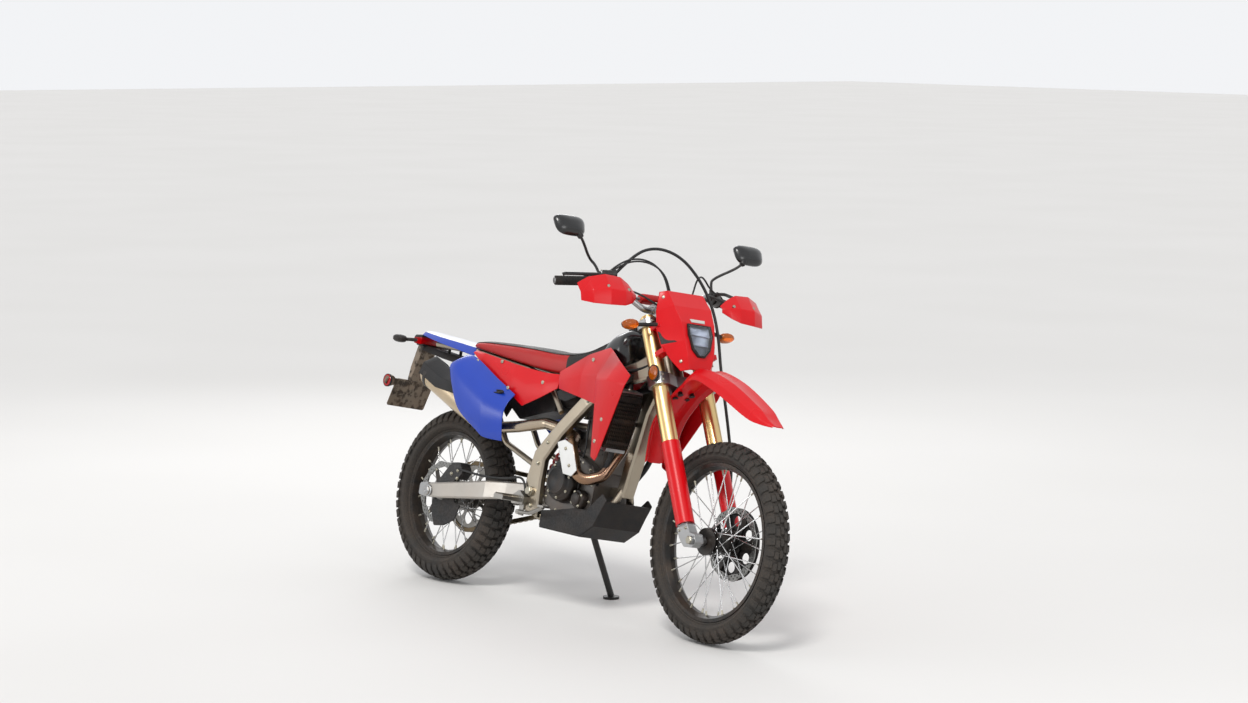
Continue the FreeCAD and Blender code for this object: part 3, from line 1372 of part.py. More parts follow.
def build_nodes():
    frame = make_frame()
    cases = make_engine_cases()
    cradle = make_cradle(frame, cases)
    subframe = make_subframe(frame)
    covers = Part.makeCompound([make_clutch_cover(), make_ignition_cover()])
    head = make_cylinder_head()
    silencer = make_silencer()
    rear_axle = make_rear_axle()
    swingarm = make_swingarm()
    tank = make_fuel_tank(frame)
    seat = make_seat(tank, subframe)
    tail_light = make_tail_light()
    inner_fender = make_inner_fender()
    footpegs = make_footpegs(frame)
    cylinder = fuse([make_cylinder(cases), head])
    radiator = make_radiator(cradle)
    side_cover = make_side_cover(subframe)
    chassis = {
        "frame": frame,
        "cradle": cradle,
        "subframe": subframe,
        "engine_cases": cases,
        "engine_covers": covers,
        "cylinder": cylinder,
        "header_pipe": make_header_pipe(head, silencer),
        "silencer": silencer,
        "swingarm": Part.makeCompound([swingarm, rear_axle]),
        "shock": make_shock(frame, swingarm),
        "chain": make_chain(),
        "rear_caliper": make_rear_caliper(swingarm, rear_axle),
        "disc_guard": make_disc_guard(),
        "fuel_tank": tank,
        "seat": seat,
        "shrouds": both_sides(make_shroud(tank, mirrored(radiator))),
        "side_panels": both_sides(make_side_panel(side_cover)),
        "side_covers": both_sides(side_cover),
        "airbox": make_airbox(subframe, cylinder),
        "rear_fender": make_rear_fender([subframe, seat]),
        "inner_fender": inner_fender,
        "tail_light": tail_light,
        "rear_signals": make_rear_signals(tail_light),
        "plate_bracket": make_plate_bracket(tail_light, inner_fender),
        "skid_plate": make_skid_plate([cradle, covers]),
        "radiators": both_sides(radiator),
        "footpegs": footpegs,
        "foot_controls": Part.makeCompound([make_brake_pedal(frame, footpegs), make_shift_lever(cases)]),
    }
    clamps = make_triple_clamps()
    fork_tubes = make_fork_tubes()
    feet = make_fork_feet()
    cowl = make_headlight_cowl(clamps, fork_tubes)
    handlebar = make_handlebar()
    controls = make_controls()
    front_end = {
        "triple_clamps": clamps,
        "fork_tubes": fork_tubes,
        "fork_sliders": make_fork_sliders(),
        "fork_feet": Part.makeCompound([feet, make_front_axle()]),
        "fork_guards": make_fork_guards(),
        "front_fender": make_front_fender(clamps, fork_tubes),
        "headlight_cowl": cowl,
        "headlight": make_headlight(fork_tubes),
        "front_signals": make_front_signals(cowl),
        "handlebar": handlebar,
        "bar_pad": make_bar_pad(),
        "grips": make_grips(),
        "controls": controls,
        "hand_guards": make_hand_guards([handlebar, controls]),
        "mirrors": make_mirrors([handlebar, controls]),
        "instrument": make_instrument(),
        "front_caliper": make_front_caliper(feet),
    }
    front_end["front_disc_guard"] = make_front_disc_guard(front_end["front_caliper"])
    front_end["brake_hose"] = make_brake_hose([front_end["front_caliper"], front_end["controls"]])
    front_hub_y, rear_hub_y = 32.0, 38.0
    front_rim = rim(FRONT_AXLE, FRONT_BEAD_R, FRONT_RIM_W)
    rear_rim = rim(REAR_AXLE, REAR_BEAD_R, REAR_RIM_W)
    front_hub = hub(FRONT_AXLE, FRONT_HUB_R, FRONT_FLANGE_R, front_hub_y, FRONT_DISC_Y - DISC_T / 2, 60.0)
    rear_hub = hub(REAR_AXLE, REAR_HUB_R, REAR_FLANGE_R, rear_hub_y, CHAIN_Y - 3.0,
                   -REAR_DISC_Y - DISC_T / 2)
    front_wheel = {
        "front_tyre": FRONT_TYRE,
        "front_rim": front_rim,
        "front_hub": front_hub,
        "front_spokes": spokes(FRONT_AXLE, FRONT_FLANGE_R, front_hub_y, FRONT_BEAD_R - RIM_DEPTH + 3.0, 8.0,
                               [front_hub, front_rim]),
        "front_disc": brake_disc(FRONT_AXLE, FRONT_DISC_R, FRONT_DISC_Y, FRONT_DISC_Y - DISC_T / 2, 44.0),
    }
    rear_wheel = {
        "rear_tyre": REAR_TYRE,
        "rear_rim": rear_rim,
        "rear_hub": rear_hub,
        "rear_spokes": spokes(REAR_AXLE, REAR_FLANGE_R, rear_hub_y, REAR_BEAD_R - RIM_DEPTH + 3.0, 10.0,
                              [rear_hub, rear_rim]),
        "rear_disc": brake_disc(REAR_AXLE, REAR_DISC_R, REAR_DISC_Y, REAR_DISC_Y + DISC_T / 2, 44.0),
        "rear_sprocket": sprocket(REAR_AXLE, REAR_TEETH, CHAIN_Y, 6.0, 36.0, 8, 5.8),
    }
    return {"chassis": chassis, "front_end": front_end, "front_wheel": front_wheel,
            "rear_wheel": rear_wheel, "side_stand": {"side_stand": make_side_stand()}}


def main():
    bodies = build_nodes()
    placed = {}
    for body, nodes in bodies.items():
        for node, shape in nodes.items():
            shape = shape.copy()
            if body in ("front_end", "front_wheel"):
                shape.rotate(STEER_BASE, UP, STEER_AT_REST)
            shape.rotate(V(0, 0, 0), V(1, 0, 0), -LEAN)
            shape.rotate(V(0, 0, 0), LEFT, PITCH)
            placed[node] = shape
    box = FreeCAD.BoundBox()
    for shape in placed.values():
        box.add(shape.optimalBoundingBox(False, False))
    origin = V(box.Center.x, box.Center.y, FLOOR_Z)

    def in_row(point):
        return leant(point, PITCH) - origin

    for node, shape in placed.items():
        shape.translate(origin * -1.0)
        shape.exportStep("parts/%s.step" % node)
    joints = {
        "rear_wheel": (REAR_AXLE, LEFT),
        "steering": (STEER_BASE, UP),
        "front_wheel": (steered_point(FRONT_AXLE), turn_vector(LEFT, UP, STEER_AT_REST)),
        "side_stand": (STAND_PIVOT, stand_axis()),
    }
    for name, (base, axis) in joints.items():
        p, a = in_row(base), leant(axis, PITCH)
        print("joint %s %.5f %.5f %.5f axis %.7f %.7f %.7f"
              % (name, p.x / 1000, p.y / 1000, p.z / 1000, a.x, a.y, a.z))
    for name, (base, axis) in mount_points().items():
        p, a = in_row(base), leant(axis, PITCH)
        print("mount %s %.5f %.5f %.5f axis %.7f %.7f %.7f"
              % (name, p.x / 1000, p.y / 1000, p.z / 1000, a.x, a.y, a.z))
    print("pitch %.4f lowest %.3f" % (PITCH, box.ZMin - FLOOR_Z))


def mount_points():
    """Where a stranger's part takes hold: both grips and the number plate's face."""
    points = {}
    for name, side in (("left_grip", 1), ("right_grip", -1)):
        middle, out = bar_point((GRIP_LENGTH - GRIP_FLANGE_T + GRIP_END) / 2, side)
        points[name] = (steered_point(middle), turn_vector(out, UP, STEER_AT_REST))
    back = LEFT.cross(PLATE_LOW - PLATE_TOP)
    back.normalize()
    points["plate_face"] = ((PLATE_LOW + PLATE_TOP) * 0.5, back)
    return points


main()
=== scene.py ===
import json
import math

import bmesh
import bpy
from mathutils import Matrix, Quaternion, Vector


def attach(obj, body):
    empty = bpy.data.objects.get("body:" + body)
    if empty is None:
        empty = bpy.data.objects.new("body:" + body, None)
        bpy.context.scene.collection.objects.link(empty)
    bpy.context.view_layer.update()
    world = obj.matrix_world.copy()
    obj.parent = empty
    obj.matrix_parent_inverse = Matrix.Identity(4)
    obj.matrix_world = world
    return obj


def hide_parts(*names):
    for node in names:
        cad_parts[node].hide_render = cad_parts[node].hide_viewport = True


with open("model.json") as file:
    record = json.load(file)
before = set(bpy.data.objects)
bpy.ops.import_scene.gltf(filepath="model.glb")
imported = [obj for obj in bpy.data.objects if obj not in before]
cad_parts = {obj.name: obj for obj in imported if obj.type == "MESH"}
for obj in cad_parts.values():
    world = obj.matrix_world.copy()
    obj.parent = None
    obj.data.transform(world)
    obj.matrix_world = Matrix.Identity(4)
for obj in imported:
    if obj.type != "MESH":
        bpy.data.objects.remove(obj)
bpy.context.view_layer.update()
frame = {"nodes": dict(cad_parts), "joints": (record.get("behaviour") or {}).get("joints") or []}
V = Vector
TAU = 2 * math.pi
SIDES = ((-1, "right"), (1, "left"))

# The upright machine's coordinates, millimetres: X forward from the rear axle, Y left, Z up
RAKE, LEAN, STEER = (math.radians(angle) for angle in (28.5, -11.8, -3.9))
REAR_R, FRONT_R = 326.0, 348.0
WHEELBASE, FORK_OFFSET = 1496, 116.0
REAR_AXLE = V((0, 0, REAR_R))
FRONT_AXLE = V((WHEELBASE, 0, FRONT_R))
UP = V((-math.sin(RAKE), 0, math.cos(RAKE)))
AHEAD = V((math.cos(RAKE), 0, math.sin(RAKE)))
LEFT = V((0, 1, 0))
STEER_BASE = FRONT_AXLE - AHEAD * (FRONT_R * math.sin(RAKE) - FORK_OFFSET * math.cos(RAKE))
FORK_A, FORK_Y = 28, 102
joint = {j["name"]: j for j in frame["joints"]}
leant_up = Quaternion((1, 0, 0), LEAN) @ UP
steering = V(joint["steering"]["axis"])
PITCH = math.atan2(steering.x, steering.z) - math.atan2(leant_up.x, leant_up.z)
TURN = Quaternion(LEFT, PITCH) @ Quaternion((1, 0, 0), LEAN)
ORIGIN = TURN @ REAR_AXLE - V(joint["rear_wheel_spin"]["pos_m"]) * 1000.0


def bike(x, y, z):
    """An upright point in millimetres, as a point of the frame in metres."""
    return (TURN @ V((x, y, z)) - ORIGIN) / 1000.0


def steered(x, y, z):
    """The same for a point of the front wheel, given with the bars straight."""
    return bike(*(STEER_BASE + Quaternion(UP, STEER) @ (V((x, y, z)) - STEER_BASE)))


def fork(a, y, s):
    """The same for a point given ahead of, across and up the steering axis."""
    return bike(*(STEER_BASE + Quaternion(UP, STEER) @ (AHEAD * a + LEFT * y + UP * s)))


def direction(place, a, b):
    return (place(*b) - place(*a)).normalized()


def axes(place):
    return [direction(place, (0, 0, 0), axis) for axis in ((1, 0, 0), (0, 1, 0), (0, 0, 1))]


FORE, SIDE, SKY = axes(bike)
FORK_AHEAD, FORK_SIDE, FORK_UP = axes(fork)
RIGHT = -SIDE


# Materials

MATERIALS = {}


def linear(colour):
    return tuple((c / 12.92 if c <= 0.04045 else ((c + 0.055) / 1.055) ** 2.4) for c in colour) + (1.0,)


def scaled(colour, factor, lift=0.0):
    return tuple(min(1.0, max(0.0, c * factor + lift)) for c in colour[:3]) + (1.0,)


class Nodes:
    """A node tree with short calls for the nodes that the scene uses."""

    def __init__(self, owner, shader="Principled BSDF"):
        owner.use_nodes = True
        self.tree = owner.node_tree
        self.shader = self.tree.nodes[shader]
        self.place = self.add("ShaderNodeTexCoord").outputs["Object"]

    def add(self, kind, **values):
        node = self.tree.nodes.new(kind)
        for key, value in values.items():
            if key in node.inputs:
                node.inputs[key].default_value = value
            else:
                setattr(node, key, value)
        return node

    def feed(self, target, value):
        """Puts a number, a colour or another node's output into an input."""
        if isinstance(target, str):
            target = self.shader.inputs[target]
        if isinstance(value, (int, float, tuple)):
            target.default_value = value
        else:
            self.tree.links.new(value, target)

    def noise(self, scale, detail=4.0, roughness=0.55):
        node = self.add("ShaderNodeTexNoise", Scale=scale, Detail=detail, Roughness=roughness)
        self.feed(node.inputs["Vector"], self.place)
        return node.outputs["Fac"]

    def ramp(self, source, low, high, a=0.0, b=1.0):
        node = self.add("ShaderNodeMapRange")
        for key, value in zip(("Value", "From Min", "From Max", "To Min", "To Max"), (source, low, high, a, b)):
            self.feed(node.inputs[key], value)
        return node.outputs["Result"]

    def math(self, operation, a, b):
        node = self.add("ShaderNodeMath", operation=operation)
        self.feed(node.inputs[0], a)
        self.feed(node.inputs[1], b)
        return node.outputs["Value"]

    def mix(self, factor, a, b):
        node = self.add("ShaderNodeMix", data_type="RGBA")
        for index, value in ((0, factor), (6, a), (7, b)):
            self.feed(node.inputs[index], value)
        return node.outputs[2]

    def bump(self, height, strength, distance, edge=0.0):
        node = self.add("ShaderNodeBump", Strength=strength, Distance=distance)
        self.feed(node.inputs["Height"], height)
        if edge:
            round_edge = self.add("ShaderNodeBevel", Radius=edge)
            round_edge.samples = 4
            self.feed(node.inputs["Normal"], round_edge.outputs["Normal"])
        self.feed("Normal", node.outputs["Normal"])


def new_material(name):
    MATERIALS[name] = bpy.data.materials.new(name)
    return Nodes(MATERIALS[name])


DUST = linear((0.60, 0.47, 0.35))
DUST_ROUGHER = 0.35
COAT_ROUGH = 0.08


def finish(name, colour, rough, metal, vary, grain, relief, edge=0.0015, coat=0.0, dust=0.0, wear=0.0,
           spread=0.12, tint=None, gloss=0.5):
    """A procedural surface: colour that varies, grain in the bump, worn edges and road dust."""
    n = new_material(name)
    base = linear(colour)
    shade = n.mix(n.ramp(n.noise(9.0, 2.0 if vary < 0.04 else 5.0), 0.3, 0.7), scaled(base, 1.0 - 2.2 * vary), base)
    if tint:
        shade = n.mix(n.ramp(n.noise(38.0, 3.0), 0.48, 0.58), shade, linear(tint))
    rough_out = n.ramp(n.noise(7.0, 0.0), 0.25, 0.75, rough * (1 - spread), rough * (1 + spread))
    if wear:
        worn = n.ramp(n.add("ShaderNodeNewGeometry").outputs["Pointiness"], 0.53, 0.6)
        worn = n.math("MULTIPLY", worn, n.ramp(n.noise(140.0), 0.42, 0.6, 0.0, wear))
        shade = n.mix(worn, shade, scaled(base, 1.6, 0.05))
    if dust:
        patch = n.ramp(n.noise(14.0, 8.0, 0.65), 0.38, 0.72, 0.0, dust)
        shade = n.mix(patch, shade, DUST)
        rough_out = n.math("ADD", rough_out, n.math("MULTIPLY", patch, DUST_ROUGHER))
    for key, value in (("Base Color", shade), ("Roughness", rough_out), ("Metallic", metal),
                       ("Specular IOR Level", gloss)):
        n.feed(key, value)
    if coat:
        n.feed("Coat Weight", coat)
        n.feed("Coat Roughness", COAT_ROUGH)
    n.bump(n.noise(grain, 3.0), relief, 0.001, edge)
    return n


# name, colour, roughness, metal, variation of colour, grain's scale and relief
finish("red_plastic", (0.83, 0.02, 0.07), 0.3, 0, 0.03, 260, 0.02, edge=0, gloss=0.35)
finish("red_shell", (0.83, 0.02, 0.07), 0.3, 0, 0.03, 260, 0.02, edge=0.003, gloss=0.35)
finish("blue_plastic", (0.12, 0.26, 0.69), 0.24, 0, 0.03, 260, 0.02, edge=0, gloss=0.45)
# The pale finish below is a painted sky reflection, laid on the rear fender's upward faces
finish("sky_reflection_white", (0.88, 0.89, 0.92), 0.3, 0, 0.02, 260, 0.02, edge=0, dust=0.02)
finish("black_plastic", (0.10, 0.10, 0.105), 0.5, 0, 0.1, 1500, 0.35, dust=0.05, wear=0.25, gloss=0.3)
finish("tank_black", (0.07, 0.072, 0.078), 0.22, 0, 0.05, 300, 0.02, coat=0.4, edge=0)
finish("frame_alloy", (0.66, 0.62, 0.555), 0.3, 1, 0.06, 700, 0.12, edge=0.003, dust=0.10)
finish("swing_alloy", (0.74, 0.72, 0.69), 0.33, 1, 0.04, 900, 0.10, edge=0.003, dust=0.12)
finish("engine_alloy", (0.42, 0.41, 0.40), 0.48, 0.9, 0.10, 1200, 0.35, edge=0.003, dust=0.16)
finish("engine_black", (0.065, 0.065, 0.068), 0.34, 0.3, 0.10, 1100, 0.2, edge=0.002, dust=0.10, wear=0.4)
finish("silencer_alloy", (0.78, 0.71, 0.60), 0.3, 1, 0.05, 900, 0.08, edge=0.001, dust=0.06)
finish("shield_black", (0.085, 0.087, 0.095), 0.46, 0, 0.06, 1400, 0.25, dust=0.02, gloss=0.35)
finish("spring_red", (0.62, 0.03, 0.03), 0.34, 0, 0.04, 400, 0.03, coat=0.3)
finish("cap_gold", (0.72, 0.56, 0.30), 0.26, 1, 0.04, 500, 0.04)
finish("fork_gold", (0.87, 0.75, 0.53), 0.31, 1, 0.02, 300, 0.01, edge=0)
finish("lamp_mirror", (0.40, 0.42, 0.46), 0.30, 0.6, 0.02, 300, 0.02, edge=0)
finish("mirror_black", (0.05, 0.052, 0.056), 0.26, 0, 0.05, 1100, 0.10, coat=0.35)
finish("shield_silver", (0.80, 0.80, 0.79), 0.3, 1, 0.04, 24, 0.05, dust=0.04)
finish("satin_black", (0.09, 0.09, 0.095), 0.4, 0, 0.08, 800, 0.12, dust=0.05, wear=0.4, gloss=0.4)
finish("steel", (0.62, 0.61, 0.59), 0.32, 1, 0.06, 600, 0.08, dust=0.08)
finish("zinc", (0.68, 0.66, 0.60), 0.36, 1, 0.08, 600, 0.08)
finish("spoke_steel", (0.80, 0.80, 0.80), 0.24, 1, 0.03, 500, 0.03, dust=0.05)
finish("rim_black", (0.13, 0.125, 0.12), 0.34, 0.5, 0.08, 800, 0.08, dust=0.12, wear=0.4)
finish("hub_alloy", (0.55, 0.54, 0.53), 0.38, 1, 0.06, 600, 0.1, dust=0.1)
finish("hub_black", (0.12, 0.12, 0.12), 0.42, 0.3, 0.08, 800, 0.1, dust=0.08)
finish("clamp_alloy", (0.66, 0.66, 0.66), 0.36, 1, 0.05, 900, 0.15, edge=0.002)
finish("chrome", (0.86, 0.86, 0.87), 0.1, 1, 0.02, 300, 0.01)
finish("disc_steel", (0.55, 0.55, 0.54), 0.28, 1, 0.06, 400, 0.08, dust=0.04)
finish("seat_black", (0.055, 0.055, 0.058), 0.55, 0, 0.10, 1600, 0.4, edge=0, dust=0.05)
finish("seat_red", (0.70, 0.03, 0.035), 0.42, 0, 0.05, 1400, 0.25, edge=0, dust=0.04)
finish("pad_red", (0.76, 0.02, 0.03), 0.45, 0, 0.05, 1400, 0.2, edge=0)
finish("grip_rubber", (0.05, 0.05, 0.05), 0.72, 0, 0.1, 900, 0.3, dust=0.06)
finish("hose_rubber", (0.045, 0.045, 0.048), 0.5, 0, 0.1, 900, 0.15)
finish("radiator_black", (0.075, 0.073, 0.07), 0.5, 0.3, 0.12, 700, 0.2, dust=0.14)
finish("plate_metal", (0.52, 0.47, 0.41), 0.42, 0.5, 0.12, 500, 0.1, dust=0.2, tint=(0.22, 0.19, 0.16))
finish("dull_white", (0.80, 0.80, 0.78), 0.5, 0, 0.03, 700, 0.05, dust=0.06)
finish("chain_steel", (0.50, 0.45, 0.36), 0.38, 1, 0.12, 500, 0.1, dust=0.2)
finish("screen", (0.045, 0.055, 0.05), 0.12, 0, 0.05, 200, 0.01, coat=1.0, edge=0)
finish("mirror_glass", (0.88, 0.89, 0.92), 0.03, 1, 0.02, 120, 0.004, edge=0, spread=0.02).feed("Coat Weight", 0.6)


def heat_tinted():
    """Stainless pipe that turns straw, bronze and blue toward the head."""
    n = finish("exhaust", (0.74, 0.70, 0.64), 0.26, 1, 0.06, 500, 0.06, dust=0.06)
    ramp = n.add("ShaderNodeValToRGB")
    stops = ((0.0, (0.72, 0.67, 0.60)), (0.45, (0.70, 0.64, 0.56)), (0.66, (0.66, 0.55, 0.43)),
             (0.84, (0.60, 0.48, 0.37)), (1.0, (0.53, 0.42, 0.35)))
    while len(ramp.color_ramp.elements) < len(stops):
        ramp.color_ramp.elements.new(0.5)
    for element, (place, colour) in zip(ramp.color_ramp.elements, stops):
        element.position, element.color = place, linear(colour)
    split = n.add("ShaderNodeSeparateXYZ")
    n.feed(split.inputs["Vector"], n.place)
    cold, hot = bike(300, -140, 600).x, bike(950, -30, 600).x
    along = n.math("ADD", n.ramp(split.outputs["X"], cold, hot), n.ramp(n.noise(22.0), 0.3, 0.7, -0.05, 0.05))
    n.feed(ramp.inputs["Fac"], along)
    n.feed("Base Color", n.mix(n.ramp(n.noise(14.0, 8.0, 0.65), 0.45, 0.8, 0.0, 0.2), ramp.outputs["Color"], DUST))


def rubber():
    """Tyre rubber, black in the grooves, with pale dust on the blocks and walls."""
    n = new_material("tyre_rubber")
    fine, broad = n.noise(170.0, 8.0, 0.7), n.noise(7.0, 6.0, 0.6)
    base = n.mix(n.ramp(fine, 0.35, 0.7), linear((0.13, 0.127, 0.124)), linear((0.22, 0.215, 0.205)))
    amount = n.math("MULTIPLY", n.ramp(broad, 0.35, 0.7, 0.05, 0.5), n.ramp(fine, 0.3, 0.75))
    n.feed("Base Color", n.mix(amount, base, linear((0.42, 0.34, 0.27))))
    n.feed("Roughness", n.ramp(fine, 0.3, 0.7, 0.72, 0.95))
    n.bump(n.noise(420.0, 6.0), 0.5, 0.0008)


def lens(name, colour, rough=0.06, transmission=0.9, glow=0.0, scale=260.0, relief=0.12):
    """A moulded lens with a fine prismatic inside."""
    n = new_material(name)
    colour = linear(colour)
    n.feed("Transmission Weight", transmission)
    n.feed("IOR", 1.49)
    n.feed("Base Color", n.mix(n.ramp(n.noise(40.0), 0.35, 0.65), scaled(colour, 0.86), colour))
    n.feed("Roughness", n.ramp(n.noise(90.0), 0.3, 0.7, rough, rough + 0.05))
    if glow:
        n.feed("Emission Color", colour)
        n.feed("Emission Strength", glow)
    cells = n.add("ShaderNodeTexVoronoi", Scale=scale)
    n.feed(cells.inputs["Vector"], n.place)
    n.bump(cells.outputs["Distance"], relief, 0.001)


heat_tinted()
rubber()
lens("lens_clear", (0.97, 0.98, 1.0), rough=0.01, transmission=1.0, scale=60.0, relief=0.02)
lens("lens_amber", (1.0, 0.50, 0.10), transmission=0.7, glow=0.08)
lens("lens_red", (0.66, 0.0, 0.02), transmission=0.1, glow=0.12)
lens("lens_smoke", (0.12, 0.12, 0.13), transmission=0.5)

# The finish of each CAD node
CAD_FINISH = {
    "frame_alloy": "frame cradle subframe", "swing_alloy": "swingarm", "engine_alloy": "engine_cases cylinder",
    "engine_black": "engine_covers", "exhaust": "header_pipe silencer", "chain_steel": "chain",
    "satin_black": "shock rear_caliper front_caliper controls side_stand",
    "steel": "rear_sprocket footpegs foot_controls", "disc_steel": "rear_disc front_disc",
    "black_plastic": "disc_guard front_disc_guard airbox inner_fender skid_plate instrument mirrors",
    "tank_black": "fuel_tank", "seat_black": "seat", "plate_metal": "plate_bracket",
    "red_plastic": "shrouds side_covers front_fender hand_guards", "red_shell": "headlight_cowl fork_guards",
    "pad_red": "bar_pad", "blue_plastic": "side_panels rear_fender", "radiator_black": "radiators",
    "lens_red": "tail_light", "lens_smoke": "rear_signals", "lens_amber": "front_signals",
    "lens_clear": "headlight", "clamp_alloy": "triple_clamps fork_feet handlebar", "fork_gold": "fork_tubes",
    "chrome": "fork_sliders", "grip_rubber": "grips", "hose_rubber": "brake_hose",
    "tyre_rubber": "front_tyre rear_tyre", "rim_black": "front_rim rear_rim", "hub_black": "front_hub",
    "hub_alloy": "rear_hub", "spoke_steel": "front_spokes rear_spokes",
}
for name, nodes in CAD_FINISH.items():
    for node in nodes.split():
        obj = frame["nodes"][node]
        if not obj.material_slots:
            obj.data.materials.append(MATERIALS[name])
        for slot in obj.material_slots:
            slot.material = MATERIALS[name]


# Mesh helpers

def add(name, data):
    """A scene object for a mesh, curve, lamp or camera."""
    obj = bpy.data.objects.new(name, data)
    bpy.context.scene.collection.objects.link(obj)
    return obj


def shade(mesh, angle):
    """Smooth shading up to an edge angle."""
    if angle:
        mesh.shade_smooth()
        mesh.set_sharp_from_angle(angle=angle)


def modify(obj, kind, **values):
    modifier = obj.modifiers.new(kind.lower(), kind)
    for key, value in values.items():
        setattr(modifier, key, value)


def apply_modifiers(obj, smooth):
    graph = bpy.context.evaluated_depsgraph_get()
    graph.update()
    old, obj_mesh = obj.data, bpy.data.meshes.new_from_object(obj.evaluated_get(graph))
    obj.modifiers.clear()
    obj.data = obj_mesh
    bpy.data.meshes.remove(old)
    shade(obj_mesh, smooth)


def spline(rows, steps):
    """Catmull-Rom through rows of numbers, with steps new rows between each pair."""
    out, last = [], len(rows) - 1
    for i in range(last):
        near = [rows[min(max(i + k, 0), last)] for k in (-1, 0, 1, 2)]
        for t in (k / steps for k in range(steps)):
            out.append([0.5 * (2 * q + (r - p) * t + (2 * p - 5 * q + 4 * r - s) * t * t
                               + (3 * q - p - 3 * r + s) * t ** 3) for p, q, r, s in zip(*near)])
    return out + [list(rows[-1])]


def dense(rows, steps):
    """The same through rows of points."""
    flat = spline([[c for p in row for c in p] for row in rows], steps)
    return [[tuple(row[k:k + 3]) for k in range(0, len(row), 3)] for row in flat]


def quads(rows, width, base=0, closed=True, loop=False):
    """Faces between rows of points; closed joins each row's ends, and loop the last row to the first."""
    return [(base + i * width + j, base + i * width + (j + 1) % width,
             base + (i + 1) % rows * width + (j + 1) % width, base + (i + 1) % rows * width + j)
            for i in range(rows if loop else rows - 1) for j in range(width if closed else width - 1)]


def circle(radius, count=24, x=0.0, y=0.0, tall=None, power=1.0):
    """A closed outline; tall makes it an oval, and a power under 1 squares it."""
    out = []
    for i in range(count):
        c, s = math.cos(TAU * i / count), math.sin(TAU * i / count)
        out.append((x + radius * math.copysign(abs(c) ** power, c),
                    y + (tall or radius) * math.copysign(abs(s) ** power, s)))
    return out


def basis(axis):
    """An axis and two directions square to it and each other."""
    axis = V(axis).normalized()
    one = axis.cross(V((0, 0, 1)) if abs(axis.z) < 0.9 else V((1, 0, 0))).normalized()
    return axis, one, axis.cross(one)


def curve_mesh(curve):
    """The mesh of a curve, with the curve's object taken away again."""
    obj = add(curve.name, curve)
    mesh = bpy.data.meshes.new_from_object(obj.evaluated_get(bpy.context.evaluated_depsgraph_get()))
    bpy.data.objects.remove(obj)
    mesh.materials.clear()
    return mesh


